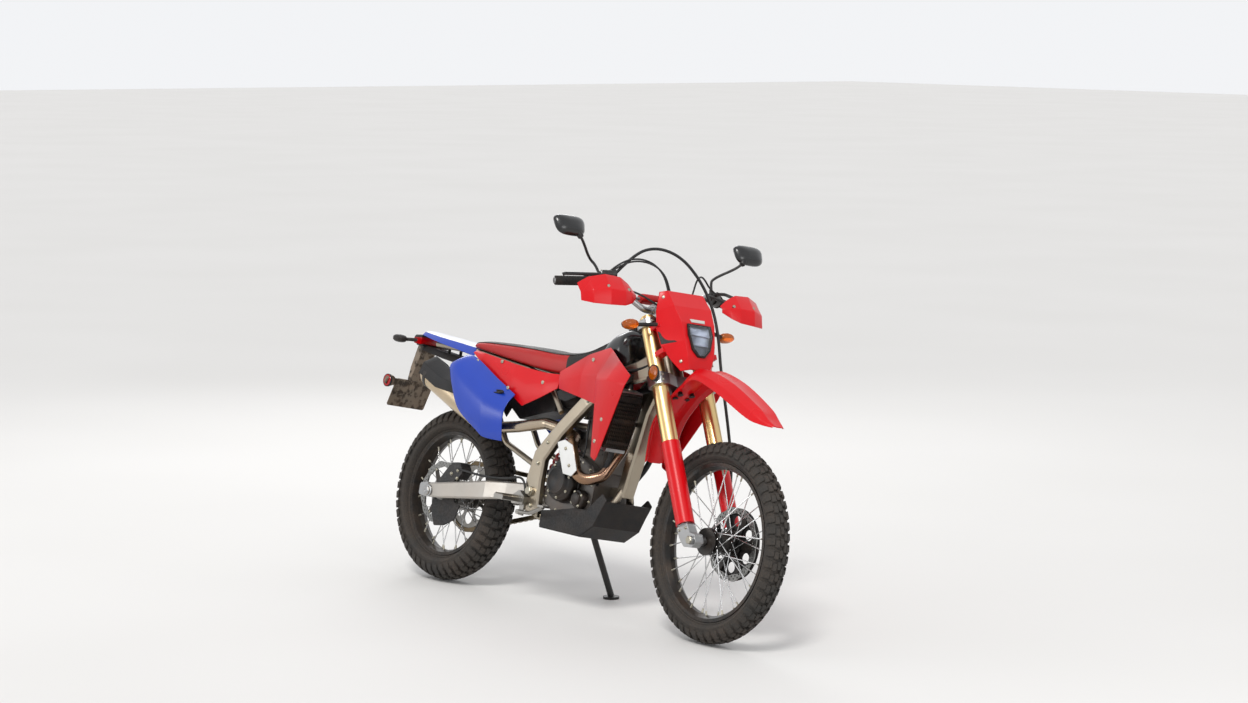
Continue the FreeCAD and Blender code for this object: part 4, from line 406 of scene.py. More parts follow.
class Body:
    """A moving body. Points are tuples in its own millimetres, or vectors in the frame's metres."""

    def __init__(self, name, place):
        self.name, self.place = name, place

    def at(self, p):
        return p if isinstance(p, V) else self.place(*p)

    def seat(self, name, mesh, slot, material, replaces=None):
        """A mesh as an object that rides on this body, in its finish or finishes."""
        obj = add(name, mesh)
        for key in ([material] if isinstance(material, str) else material):
            mesh.materials.append(MATERIALS[key])
        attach(obj, self.name)
        if replaces:
            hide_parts(replaces)
        return obj

    def piece(self, name, verts, faces, slot, material, replaces=None, smooth=0.6, merge=False):
        mesh = bpy.data.meshes.new(name)
        mesh.from_pydata([tuple(self.at(v)) for v in verts], [], faces)
        mesh.validate()
        bm = bmesh.new()
        bm.from_mesh(mesh)
        if merge:
            bmesh.ops.remove_doubles(bm, verts=bm.verts, dist=1e-6)
        bmesh.ops.recalc_face_normals(bm, faces=bm.faces)
        bm.to_mesh(mesh)
        bm.free()
        shade(mesh, smooth)
        return self.seat(name, mesh, slot, material, replaces)

    def parts(self, name, slot, material="zinc", smooth=0.6):
        return Parts(self, name, slot, material, smooth)

    def cover(self, name, rows, slot, material, replaces=None, sides=(1,), thick=3.2, fold=5.0, fold_angle=7.0,
              pick=None, rounded=False):
        """A moulded cover through rows of points: flat facets with soft folds between them, or rounded."""
        verts, faces = [], []
        for side in sides:
            new = quads(len(rows), len(rows[0]), len(verts), closed=False)
            faces += new if side > 0 else [face[::-1] for face in new]
            verts += [p if side > 0 else (p[0], -p[1], p[2]) for row in rows for p in row]
        obj = self.piece(name, verts, faces, slot, material, replaces, 0.6 if rounded else 0.0)
        if pick:
            for polygon in obj.data.polygons:
                polygon.material_index = pick(polygon)
        if rounded:
            modify(obj, "SUBSURF", levels=1, render_levels=1, boundary_smooth="PRESERVE_CORNERS")
        else:
            modify(obj, "BEVEL", width=fold / 1000, segments=4, limit_method="ANGLE",
                   angle_limit=math.radians(fold_angle))
        modify(obj, "SOLIDIFY", thickness=thick / 1000, offset=-1.0, use_even_offset=True)
        modify(obj, "BEVEL", width=0.0009, segments=2, limit_method="ANGLE",
               angle_limit=math.radians(40 if rounded else 50))
        apply_modifiers(obj, 0.6 if rounded else 0.7)
        return obj

    def lathe(self, name, profile, base, axis, slot, material, replaces=None, steps=96, smooth=0.6):
        """A turned piece from (radius, height) in millimetres about an axis from a point."""
        axis, one, two = basis(axis)
        base, verts = self.at(base), []
        for i in range(steps):
            out = one * math.cos(TAU * i / steps) + two * math.sin(TAU * i / steps)
            verts += [base + out * (r / 1000) + axis * (h / 1000) for r, h in profile]
        return self.piece(name, verts, quads(steps, len(profile), closed=False, loop=True), slot, material, replaces,
                          smooth, merge=True)

    def pipe(self, name, points, radius, slot, material="hose_rubber", replaces=None, resolution=6):
        """A round hose or bar along points."""
        curve = bpy.data.curves.new(name, "CURVE")
        curve.dimensions, curve.bevel_depth, curve.bevel_resolution = "3D", radius / 1000, resolution
        curve.use_fill_caps = True
        line = curve.splines.new("NURBS")
        line.points.add(len(points) - 1)
        for p, q in zip(line.points, points):
            p.co = (*self.at(q), 1.0)
        line.order_u, line.use_endpoint_u, line.resolution_u = 3, True, 8
        mesh = curve_mesh(curve)
        mesh.shade_smooth()
        return self.seat(name, mesh, slot, material, replaces)

    def plate(self, name, loops, thickness, base, axis, up, slot, material, replaces=None, bevel=0.4):
        """A flat plate from closed outlines of (right, up) millimetres; inner ones are holes."""
        curve = bpy.data.curves.new(name, "CURVE")
        curve.dimensions, curve.fill_mode, curve.extrude = "2D", "BOTH", thickness / 2000
        curve.bevel_depth, curve.bevel_resolution, curve.offset = bevel / 1000, 1, -bevel / 1000
        for loop in loops:
            line = curve.splines.new("POLY")
            line.points.add(len(loop) - 1)
            for p, (x, y) in zip(line.points, loop):
                p.co = (x / 1000, y / 1000, 0, 1)
            line.use_cyclic_u = True
        mesh = curve_mesh(curve)
        axis = V(axis).normalized()
        up = (V(up) - axis * V(up).dot(axis)).normalized()
        move = Matrix((up.cross(axis), up, axis)).transposed().to_4x4()
        move.translation = self.at(base)
        mesh.transform(move)
        return self.seat(name, mesh, slot, material, replaces)


class Parts:
    """Many small solids of one body and surface, joined into one mesh."""

    def __init__(self, body, name, slot, material, smooth):
        self.body, self.options = body, (slot, material)
        self.name, self.smooth = name, smooth
        self.verts, self.faces = [], []

    def prism(self, rings):
        """A closed solid through rings of points that have as many points each."""
        base, count = len(self.verts), len(rings[0])
        for ring in rings:
            self.verts += [self.body.at(p) for p in ring]
        self.faces += quads(len(rings), count, base)
        self.faces.append(tuple(base + j for j in reversed(range(count))))
        self.faces.append(tuple(base + (len(rings) - 1) * count + j for j in range(count)))
        return self

    def turned(self, base, axis, profile, sides=20):
        """A turned solid from (radius, height) pairs, millimetres."""
        axis, one, two = basis(axis)
        base = self.body.at(base)
        return self.prism([[base + (one * math.cos(TAU * i / sides) + two * math.sin(TAU * i / sides)) * (r / 1000)
                            + axis * (h / 1000) for i in range(sides)] for r, h in profile])

    def bolt(self, base, axis, size=6.0):
        """A hexagon head on a washer, size being the thread."""
        self.turned(base, axis, [(size * 1.15, 0.0), (size * 1.15, size * 0.18)])
        start = self.body.at(base) + V(axis).normalized() * (size * 0.18 / 1000)
        self.turned(start, axis, [(size * 0.86, 0.0), (size * 0.86, size * 0.5), (size * 0.72, size * 0.62)], 6)
        return self.turned(start, axis, [(size * 0.45, 0.0), (size * 0.45, size * 0.7)], 12)

    def done(self, replaces=None):
        return self.body.piece(self.name, self.verts, self.faces, *self.options, replaces, self.smooth)


# Camera at the photograph's place

FOCAL_PIXELS, PHOTO_WIDTH, SENSOR = 3063.0, 1248.0, 36.0
CAMERA_AT, CAMERA_AIM = V((8.49555, -7.17884, 2.16347)), V((0.07916, -0.04775, 0.92981))
CAMERA_ROLL = math.radians(0.552)
SOLVED_REAR_AXLE = V((-0.71560, -0.20853, 0.32058))


def make_camera():
    data = bpy.data.cameras.new("camera")
    data.sensor_width, data.lens, data.clip_end = SENSOR, FOCAL_PIXELS / PHOTO_WIDTH * SENSOR, 100.0
    camera = add("camera", data)
    shift = V(joint["rear_wheel_spin"]["pos_m"]) - SOLVED_REAR_AXLE
    at, aim = CAMERA_AT + shift, CAMERA_AIM + shift
    camera.location = at
    camera.rotation_mode = "QUATERNION"
    camera.rotation_quaternion = (aim - at).to_track_quat("-Z", "Y") @ Quaternion((0, 0, 1), CAMERA_ROLL)
    bpy.context.scene.camera = camera


make_camera()
chassis = Body("chassis", bike)
front = Body("front_end", fork)


# Wheels

class Wheel(Body):
    """A wheel's body, whose points can be given by radius, side, angle and way along the rim."""

    def __init__(self, name, place, centre):
        super().__init__(name, place)
        self.centre = centre

    def spot(self, r, y, angle=0.0, along=0.0):
        return self.place(self.centre.x + r * math.sin(angle) + along * math.cos(angle), y,
                          self.centre.z + r * math.cos(angle) - along * math.sin(angle))


def make_tyre(wheel, name, radius, width, bead, rim_w, lug, rows):
    """A carcass with moulded walls and staggered blocks, as proud as the source's lugs."""
    crown = 0.56 * width

    def tread(y, depth):
        return radius - depth - crown + math.sqrt(max(crown ** 2 - y * y, 0.0))

    edge, half, seat = width / 2 - 4.0, width / 2, rim_w / 2
    shoulder, lip = tread(edge, lug), bead + 8.5
    wall = (lip + shoulder) / 2
    side = [(bead + 0.5, seat - 6.0), (lip, seat - 5.0), (lip + 5, seat + 1.0), (lip + 7, seat + 1.0),
            (lip + 9, seat + 0.2), ((lip * 2 + shoulder) / 3, half - 8.5), (wall - 2, half - 6.2),
            (wall, half - 5.0), (wall + 3, half - 5.0), (wall + 5, half - 6.0), (shoulder - 5, edge - 1.0),
            (shoulder, edge - 0.5)]
    side += [(tread(y, lug), y) for y in [edge * k / 6 for k in range(5, 0, -1)]]
    profile = side + [(tread(0, lug), 0.0)] + [(r, -y) for r, y in reversed(side[12:])] \
        + [(r, -y) for r, y in reversed(side[:12])]
    steps = 144
    wheel.piece(name + "_carcass", [wheel.spot(r, y, TAU * i / steps) for i in range(steps) for r, y in profile],
                quads(steps, len(profile), loop=True), "tyre_rubber", "tyre_rubber", name, 0.9)

    blocks = wheel.parts(name + "_blocks", "tyre_rubber", "tyre_rubber", 0.5)
    step = TAU / rows
    pitch = step * radius
    # from y, to y in widths; from and to along the tread in pitches
    pattern = [(0.015, 0.145, 0.02, 0.66), (0.175, 0.315, -0.30, 0.30), (0.345, 0.5, 0.0, 0.58)]
    for i in range(rows):
        for hand in (-1, 1):
            for n, (y0, y1, a0, a1) in enumerate(pattern):
                angle = step * (i + (0.5 if (hand > 0) != (n == 1) else 0.0))
                start, end = a0 * pitch, a1 * pitch
                c = min(2.2, 0.18 * (end - start))
                rings = []
                for depth, inset in ((lug + 2.5, -1.2), (1.1, 0.0), (0.0, 1.1)):
                    ys, ye = y0 * width + inset, y1 * width - (inset if n < 2 else inset * 1.5)
                    ss, se = start + inset, end - inset
                    outline = [(ys + c, ss), (ye - c, ss), (ye, ss + c), (ye, se - c), (ye - c, se), (ys + c, se),
                               (ys, se - c), (ys, ss + c)]
                    rings.append([wheel.spot(tread(min(y, half), depth), hand * y, angle, a) for y, a in outline])
                blocks.prism(rings if hand > 0 else [ring[::-1] for ring in rings])
    blocks.done()


def make_nipples(wheel, name, rim_r, rim_y, flange_r, flange_y):
    """Spoke nipples at the rim and bent heads at the flange, on the source's lacing."""
    nipples = wheel.parts(name + "_nipples", "spoke_steel")
    heads = wheel.parts(name + "_spoke_heads", "spoke_steel", "spoke_steel")
    for side in (-1, 1):
        for i in range(18):
            turn = 1 if i % 2 else -1
            rim_angle = math.radians((i + (0.5 if side > 0 else 0.0)) * 20.0)
            hub_angle = rim_angle + math.radians(turn * 52.0)
            lift = 2.6 * turn
            start = wheel.spot(flange_r - 6.0, side * flange_y + lift, hub_angle)
            end = wheel.spot(rim_r, side * rim_y + 0.25 * lift, rim_angle)
            out = (end - start).normalized()
            nipples.turned(end - out * 0.018, out, [(2.6, 0.0), (3.2, 1.0), (3.2, 12.0), (4.4, 14.0), (4.4, 18.0)], 8)
            head = wheel.spot(flange_r - 6.0, side * flange_y + lift * 2.4, hub_angle)
            away = (head - wheel.spot(flange_r - 6.0, side * flange_y, hub_angle)).normalized()
            heads.turned(head - away * 0.002, away, [(3.2, 0.0), (3.4, 1.2), (2.2, 2.4)], 10)
    nipples.done()
    heads.done()


def polar(r, angle):
    return r * math.cos(angle), r * math.sin(angle)


def wavy(radius, depth, waves=12, sides=168):
    return [polar(radius - depth * (0.5 + 0.5 * math.cos(waves * TAU * i / sides)), TAU * i / sides)
            for i in range(sides)]


def make_disc(wheel, name, radius, y, outward):
    """A petal disc with drilled rows on a dark carrier with six arms."""
    centre, axis = wheel.spot(0, y), (wheel.spot(0, y + outward) - wheel.spot(0, y)).normalized()
    loops = [wavy(radius, 5.0), wavy(radius - 26.0, -4.0)[::-1]]
    for ring_r, phase in ((radius - 10, 0.5), (radius - 18.5, 0.0)):
        loops += [circle(3.2, 10, *polar(ring_r, TAU * (i + phase) / 36)) for i in range(36)]
    wheel.plate(name + "_band", loops, 3.6, centre, axis, SKY, "disc_steel", "disc_steel", name, 0.3)
    arm = ((-0.24, 47), (-0.10, radius - 33), (-0.06, radius - 24), (0.06, radius - 24), (0.10, radius - 33),
           (0.24, 47))
    star = [polar(r, TAU * (i + share) / 6) for i in range(6) for share, r in arm]
    wheel.plate(name + "_carrier", [star, circle(34, 40)], 3.0, centre, axis, SKY, "disc_steel", "hub_black",
                bevel=0.5)
    rivets = wheel.parts(name + "_rivets", "disc_steel")
    one = (SKY - axis * SKY.dot(axis)).normalized()
    two = one.cross(axis)
    for i in range(6):
        for r, size in ((radius - 27, 5.0), (41, 4.6)):
            c, s = polar(r / 1000, TAU * i / 6)
            rivets.turned(centre + two * c + one * s + axis * 0.0014, axis,
                          [(size, 0.0), (size, 1.0), (size * 0.8, 1.9), (2.0, 1.9)], 14)
    rivets.done()


front_wheel = Wheel("front_wheel", steered, FRONT_AXLE)
rear_wheel = Wheel("rear_wheel", bike, REAR_AXLE)
# radius, width, bead radius, rim width, lug height, rows of blocks
make_tyre(front_wheel, "front_tyre", FRONT_R, 90.0, 266.7, 54.0, 9.0, 54)
make_tyre(rear_wheel, "rear_tyre", REAR_R, 124.0, 228.6, 70.0, 12.0, 50)
# rim radius and side, flange radius and side
make_nipples(front_wheel, "front", 254.7, 8.0, 44.0, 32.0)
make_nipples(rear_wheel, "rear", 216.6, 10.0, 56.0, 38.0)
make_disc(front_wheel, "front_disc", 130.0, 64.0, 1.0)
make_disc(rear_wheel, "rear_disc", 120.0, -72.0, -1.0)


# Bodywork shells from the source's rows

def shroud_rows():
    rows = [
        # top x, top z, low x, low z, share of the way down to the crease, top y, crease y, low y
        (655, 845, 671, 784, 0.5, 132, 138, 138),
        (780, 922, 800, 765, 0.5, 114, 145, 145),
        (883, 958, 928, 748, 0.5, 108, 170, 168),
        (905, 950, 942, 566, 0.29, 114, 180, 172),
        (1010, 915, 972, 552, 0.2, 165, 205, 174),
        (1143, 868, 986, 566, 0.12, 222, 224, 178),
    ]
    return [[(tx, -ty, tz), (tx + (lx - tx) * share, -cy, tz + (lz - tz) * share), (lx, -ly, lz)]
            for tx, tz, lx, lz, share, ty, cy, ly in rows]


def panel_rows():
    rows = [
        # x, top z, bottom z, top y, middle y, bottom y
        (93, 826, 796, 168, 196, 200),
        (130, 856, 738, 150, 206, 208),
        (190, 846, 650, 146, 212, 206),
        (310, 791, 583, 146, 210, 198),
        (350, 774, 563, 146, 206, 190),
        (435, 737, 560, 144, 190, 172),
    ]
    out = []
    for x, zt, zb, yt, ym, yb in rows:
        middle = zb + (zt - zb) * 0.62
        out.append([(x, -yt, zt), (x, -(yt + ym) / 2 - 5, (zt + middle) / 2 + 4), (x, -ym, middle),
                    (x, -(ym + yb) / 2 - 3, (middle + zb) / 2), (x, -yb, zb)])
    return dense(out, 5)


def side_cover_rows():
    rows = [
        # x, top z, bottom z, top y, bottom y
        (118, 878, 868, 104, 120),
        (180, 872, 838, 112, 130),
        (388, 848, 742, 122, 138),
        (470, 840, 700, 122, 134),
        (560, 834, 740, 118, 130),
        (652, 836, 784, 116, 130),
    ]
    return [[(x, -yt, zt), (x, -yt - 9, zt + (zb - zt) * 0.42), (x, -yb, zb)] for x, zt, zb, yt, yb in rows]


def mirrored(half, *middle):
    return half + list(middle) + [(x, -y, z) for x, y, z in reversed(half)]


def rear_fender_rows():
    rows = [
        # top x, top z, edge x, edge z, top half, edge half
        (62, 898, 92, 856, 62, 96),
        (-20, 905, -30, 872, 66, 92),
        (-160, 915, -165, 890, 62, 84),
        (-291, 926, -291, 908, 46, 62),
    ]
    return dense([mirrored([(ex, -eh, ez), ((ex + 3 * tx) / 4, -(eh + 3 * th) / 4, (ez + 3 * tz) / 4),
                            (tx, -th * 0.86, tz)], (tx, 0, tz + 3)) for tx, tz, ex, ez, th, eh in rows], 4)


def front_fender_rows():
    rows = [
        # top a, top s, edge a, edge s, top half, edge half
        (-190, 404, -170, 390, 34, 60),
        (-110, 515, -88, 496, 38, 70),
        (0, 566, 6, 540, 40, 69),
        (90, 588, 92, 556, 40, 71),
        (185, 600, 178, 556, 40, 77),
        (311, 500, 276, 465, 34, 76),
        (420, 360, 385, 329, 30, 66),
        (450, 302, 430, 286, 25, 48),
        (472, 264, 464, 262, 17, 26),
    ]
    out = []
    for ta, ts, ea, es, th, eh in rows:
        channel = ts - min(5.0, 0.2 * max(th - 10, 0))
        out.append(mirrored([(ea, -eh, es), ((ea + ta) / 2, -(eh * 0.72 + th * 0.28), (es + ts) / 2 + 2),
                             (ta, -th, ts), (ta, -th * 0.55, channel)], (ta, 0, channel)))
    return dense(out, 6)


# Faces that point up take the pale finish: a painted reflection of the bright sky on the blue fender's top.
def painted_reflection_faces(polygon):
    return int(abs(polygon.normal.dot(SKY)) > 0.85)


chassis.cover("shrouds", shroud_rows(), "red_plastic", "red_plastic", "shrouds", (1, -1), fold=6.0)
chassis.cover("side_panels", panel_rows(), "blue_plastic", "blue_plastic", "side_panels", (1, -1), rounded=True)
chassis.cover("side_covers", side_cover_rows(), "red_plastic", "red_plastic", "side_covers", (1, -1), fold=4.0,
              fold_angle=5.0)
# The blue fender, with a painted sky reflection on its upward faces
chassis.cover("rear_fender", rear_fender_rows(), "blue_plastic", ["blue_plastic", "sky_reflection_white"], "rear_fender",
              fold=3.0, fold_angle=14.0, pick=painted_reflection_faces)
front.cover("front_fender", front_fender_rows(), "red_plastic", "red_plastic", "front_fender", fold=3.5,
            fold_angle=16.0)
for side, word in SIDES:
    out = direction(bike, (0, 0, 0), (0, side * 0.76, 0.65))
    tall = direction(bike, (0, 0, 0), (-0.12, side * -0.64, 0.75))
    # The slot's black ring and its darker floor are painted shade: dark pieces standing where the hole's inside is
    # only shaded.
    chassis.plate(f"panel_slot_{word}", [circle(32, 40, tall=8.5), circle(32 * 0.82, 40, tall=8.5 * 0.5)[::-1]], 5.0,
                  (368, side * 173, 737), out, tall, "blue_plastic", "black_plastic", bevel=0.8)
    chassis.plate(f"panel_slot_shade_floor_{word}", [circle(32 * 0.9, 40, tall=8.5 * 0.8)], 3.0,
                  (368, side * 172.4, 736.5), out, tall, "blue_plastic", "hose_rubber")
fender_mounts = front.parts("front_fender_mounts", "black_plastic", "black_plastic")
for a in (10, 40):
    for y in (-26, 26):
        fender_mounts.turned((a, y, 560), FORK_UP, [(11, 0), (8, 6), (8, 28)])
fender_mounts.done()


# Tank, seat and bar pad

def loft(body, name, sections, slot, material, level):
    """A closed form through closed sections, rounded by subdivision, in place of its CAD node."""
    obj = body.parts(name, slot, material, 0.0).prism(sections).done(name)
    if level:
        modify(obj, "SUBSURF", levels=level, render_levels=level)
    apply_modifiers(obj, 0.9)
    return obj


def make_tank():
    rows = [
        # x, top z, bottom z, half width at the knee, roundness
        (692, 884, 806, 56, 0.8), (735, 912, 815, 68, 0.75), (790, 952, 832, 82, 0.72), (850, 1010, 850, 95, 0.7),
        (900, 1032, 862, 99, 0.7), (925, 1031, 870, 97, 0.7), (945, 1010, 878, 80, 0.72), (958, 975, 888, 56, 0.8),
    ]
    sections = []
    for x, top, low, half, power in spline(rows, 4):
        knee = low + (top - low) * 0.45
        ring = []
        for i in range(25):
            c, s = math.cos(math.pi * i / 24), math.sin(math.pi * i / 24)
            ring.append((x, math.copysign(abs(c) ** power, c) * half, knee + (top - knee) * s ** power))
        sections.append(ring + [(x, -half * 0.9, (low + knee) / 2), (x, -half * 0.6, low), (x, half * 0.6, low),
                                (x, half * 0.9, (low + knee) / 2)])
    loft(chassis, "fuel_tank", sections, "black_plastic", "tank_black", 0)
    chassis.lathe("tank_cap", [(0, -14), (36, -14), (36, 0), (34, 2), (34, 10), (32.5, 14), (29, 15.5), (26, 15.5),
                               (25, 17), (22, 19), (0, 19)], (895, 0, 1034), SKY, "black_plastic", "satin_black",
                  steps=64)
    lugs = chassis.parts("tank_cap_grip", "black_plastic", "satin_black")
    for i in range(18):
        x, y = polar(34, TAU * i / 18)
        lugs.turned((895 + x, y, 1035.5), SKY, [(2.6, 0), (2.6, 8.5), (1.6, 9.5)], 8)
    lugs.done()
    chassis.pipe("tank_breather", [(895, 0, 1052), (900, 0, 1068), (925, 0, 1066), (952, 0, 1042), (966, 0, 1005)],
                 3.4, "black_plastic")


SEAT_ROWS = [
    # x, top z, edge z, bottom z, top half width, bottom half width
    (66, 905, 898, 888, 60, 78),
    (130, 922, 908, 882.3, 72, 100),
    (417, 926, 908, 851.3, 84, 112),
    (600, 922, 902, 838, 74, 100),
    (720, 942, 918, 850, 60, 88),
    (835, 1000, 970, 925, 48, 74),
]
SEAT_ENDS = (0.86, 0.95, 0.985)
RED_ENDS_X = 640


def make_seat():
    rows = spline(SEAT_ROWS, 7)
    sections = []
    for index, (x, top, edge, low, th, half) in enumerate(rows):
        end = min(index, len(rows) - 1 - index)
        pull = SEAT_ENDS[end] if end < 3 else 1.0
        mid = (top + low) / 2
        ring = [(x, y, mid + (z - mid) * pull) for y, z in (
            (0, top), (th * 0.5, top - 0.6), (th * 0.85, top - 2.4), (th + 3, top - 6),
            ((th + half) / 2 + 2, (top + edge) / 2 - 4), (half - 2, edge - 4), (half - 0.5, (edge * 2 + low) / 3),
            (half - 2.5, (edge + 2 * low) / 3), (half - 5, low + 2), (half - 14, low), (half * 0.4, low))]
        sections.append(ring + [(x, -y, z) for x, y, z in reversed(ring[1:])])
    obj = loft(chassis, "seat", sections, "seat_vinyl", ["seat_black", "seat_red"], 1)
    for polygon in obj.data.polygons:
        upright = TURN.conjugated() @ (polygon.center * 1000.0 + ORIGIN)
        x, top, edge, low, th, half = min(rows, key=lambda row: abs(row[0] - upright.x))
        if th + 3 < upright.z < (top + edge) / 2 - 4.0 and upright.x < RED_ENDS_X and abs(upright.y) > th:
            polygon.material_index = 1
    for side, word in SIDES:
        line = [(x, side * ((th + half) / 2 + 2.6), (top + edge) / 2 - 3.0)
                for x, top, edge, low, th, half in rows[1:-1:2]]
        chassis.pipe(f"seat_piping_{word}", line, 1.5, "seat_vinyl", "seat_black", resolution=3)


def make_bar_pad():
    outline = [(-13, 931), (-15, 945), (-12, 956), (-2, 961), (10, 960.5), (20, 957), (23, 946), (21, 932),
               (12, 929), (-4, 928.5)]
    middle_a, middle_s = 3.5, 945
    sections = [[(middle_a + (a - middle_a) * grow, y, middle_s + (s - middle_s) * grow) for a, s in outline]
                for y, grow in ((-103, 0.84), (-100, 0.95), (-92, 1.02), (-50, 1.05), (0, 1.06), (50, 1.05),
                                (92, 1.02), (100, 0.95), (103, 0.84))]
    loft(front, "bar_pad", sections, "red_plastic", "pad_red", 2)


make_tank()
make_seat()
make_bar_pad()


# Engine, pipes and frame fittings

def engine_cover(name, x, z, y0, profile, bolts, bolt_r, bolt_y, replaces=None):
    """A turned cover on the engine's left or right side, with its ring of bolts."""
    out = 1 if y0 > 0 else -1
    chassis.lathe(name, profile, (x, y0, z), SIDE * out, "engine_black", "engine_black", replaces)
    heads = chassis.parts(name + "_bolts", "engine_black")
    for i in range(bolts):
        dx, dz = polar(bolt_r, TAU * (i + 0.35) / bolts)
        heads.bolt((x + dx, y0 + out * bolt_y, z + dz), SIDE * out, 5.0)
    heads.done()


engine_cover("clutch_cover", 753, 457, -94, [
    (0, 0), (77, 0), (78, 3), (78, 10), (75.5, 12.5), (74, 30), (72, 37), (67, 42.5), (60, 45), (54, 46), (51.5, 48),
    (50, 52.5), (47.5, 55), (44, 56), (41, 54.5), (38, 52.5), (0, 52)], 7, 60.5, 44.5, "engine_covers")
engine_cover("pump_cover", 851, 405, -94, [
    (0, 0), (34, 0), (34, 22), (31, 27), (24, 29), (22, 36), (18, 38), (0, 38)], 4, 27.5, 28)
engine_cover("ignition_cover", 812, 452, 94, [
    (0, 0), (60, 0), (60, 20), (57, 26), (48, 30), (36, 31), (34, 35), (30, 36), (0, 36)], 6, 51, 28.5)
chassis.lathe("oil_cap", [(0, 0), (15, 0), (15, 7), (13, 9), (8, 9), (7, 13), (0, 13)], (703, -94, 400), RIGHT,
              "engine_alloy", "engine_alloy", steps=40)
case_bolts = chassis.parts("case_bolts", "engine_alloy")
for x, z in ((650, 452), (674, 508), (706, 548), (768, 552), (824, 536), (868, 514), (890, 462), (886, 400),
             (858, 350), (790, 348), (712, 350), (646, 392)):
    case_bolts.bolt((x, -94, z), RIGHT, 5.0)
    if x > 690:
        case_bolts.bolt((x, 94, z), SIDE, 5.0)
for x, z in ((768, 702), (884, 712), (776, 776), (886, 766), (800, 800), (866, 796)):
    for side in (-1, 1):
        case_bolts.bolt((x, side * 70, z), SIDE * side, 5.0)
case_bolts.done()

# Cast ribs: the half width of the engine there, the rib's height, its up, and its ends
RIBS = [(94.6, 7, (0.3, 0, 1), ends) for ends in (
    ((660, 440), (690, 540)), ((700, 556), (772, 560)), ((780, 556), (868, 526)), ((884, 500), (892, 470)),
    ((700, 342), (860, 342)))]
RIBS += [(61.5, 3.5, (0, 0, 1), ((778, 590 + i * 14), (880, 590 + i * 14))) for i in range(7)]
RIBS += [(72, 5, (0, 0, 1), ((760, 692), (894, 692))), (62, 5, (0, 0, 1), ((774, 791), (872, 791))),
         (64, 5, (0, 0, 1), ((776, 575), (886, 575)))]
ribs = chassis.parts("engine_ribs", "engine_alloy", "engine_alloy")
for half, tall, up, ends in RIBS:
    for y in (-half, half):
        ribs.prism([[tuple(V((x, y + i * 2.5, z)) + V(up) * (j * tall / 2))
                     for i, j in ((-1, -1), (1, -1), (1, 1), (-1, 1))] for x, z in ends])
ribs.done()
chassis.lathe("starter_motor", [(0, 0), (23, 0), (25, 3), (25, 84), (22, 88), (14, 90), (0, 90)], (742, -40, 596),
              SIDE, "engine_black", "engine_black", steps=48)
chassis.lathe("plug_cap", [(0, 0), (13, 0), (13, 14), (10, 17), (9, 40), (11, 44), (0, 46)], (826, -30, 818),
              SKY * 0.8 + RIGHT * 0.6, "engine_black", "hose_rubber", steps=24)
chassis.lathe("exhaust_flange", [(22, -6), (34, -6), (36, -3), (36, 3), (30, 6), (22, 7)], (908, -3, 734),
              direction(bike, (888, 0, 738), (948, -8, 716)), "exhaust", "engine_alloy", steps=48)

# name, radius, points on the left side
HOSES = [
    ("coolant_hose", 11.5, ((1004, 92, 806), (1000, 84, 838), (955, 60, 838), (905, 36, 818), (878, 30, 800))),
    ("lower_hose", 10.5, ((975, 96, 612), (962, 92, 560), (916, 84, 500), (880, 80, 440), (856, 84, 420))),
]
# where each clip sits and what it points at
CLIPS = (((1004, 92, 814), (1000, 84, 838)), ((890, 33, 808), (905, 36, 818)), ((973, 95, 600), (962, 92, 560)),
         ((862, 83, 430), (880, 80, 440)))
clips = chassis.parts("hose_clips", "radiator_black")
for side, word in SIDES:
    for name, radius, points in HOSES:
        chassis.pipe(f"{name}_{word}", [(x, side * y, z) for x, y, z in points], radius, "radiator_black")
    for point, aim in CLIPS:
        point, aim = [(x, side * y, z) for x, y, z in (point, aim)]
        along = direction(bike, point, aim)
        clips.turned(bike(*point) - along * 0.004, along, [(11.6, 0), (13.2, 0), (13.2, 8), (11.6, 8)], 24)
clips.done()
for name, radius, slot, points in (
        ("oil_line", 4.0, "engine_alloy", [(800, -97, 520), (816, -88, 560), (800, -76, 620), (796, -74, 700)]),
        ("clutch_cable", 3.2, "engine_black", [(700, 60, 580), (720, 84, 640), (830, 86, 780), (940, 62, 880)]),
        ("rear_brake_hose", 4.2, "caliper_metal", [(104, -92, 428), (170, -112, 424), (335, -124, 418),
                                                   (440, -112, 428), (540, -128, 448), (575, -130, 392),
                                                   (572, -131, 352)]),
        ("harness_1", 6.0, "black_plastic", [(1058, -42, 930), (1028, -64, 900), (975, -100, 880), (905, -118, 862),
                                             (840, -124, 812)]),
        ("harness_2", 6.0, "black_plastic", [(1060, 30, 960), (1020, 66, 930), (950, 104, 890), (880, 118, 850)]),
        ("harness_3", 6.0, "black_plastic", [(1046, -34, 900), (1010, -60, 860), (985, -78, 840), (960, -84, 780),
                                             (950, -80, 700)])):
    chassis.pipe(name, points, radius, slot)

chassis.plate("header_shield", [[(0, 4), (40, 17), (86, 3), (130, -83), (106, -108), (58, -104)]], 2.0,
              (760, -175.2, 590), RIGHT, SKY, "exhaust", "shield_silver", bevel=1.0)
shield_bolts = chassis.parts("header_shield_bolts", "exhaust")
for x, z in ((845, 518), (812, 576)):
    shield_bolts.bolt((x, -176.6, z), RIGHT)
shield_bolts.done()

# Silencer
SILENCER_FRONT, SILENCER_REAR = (335, -142, 602), (-84, -152, 776)
SILENCER = bike(*SILENCER_FRONT)
ALONG = direction(bike, SILENCER_FRONT, SILENCER_REAR)
OUTWARD = (RIGHT - ALONG * RIGHT.dot(ALONG)).normalized()
UPWARD = OUTWARD.cross(ALONG)
if UPWARD.dot(SKY) < 0:
    UPWARD = -UPWARD


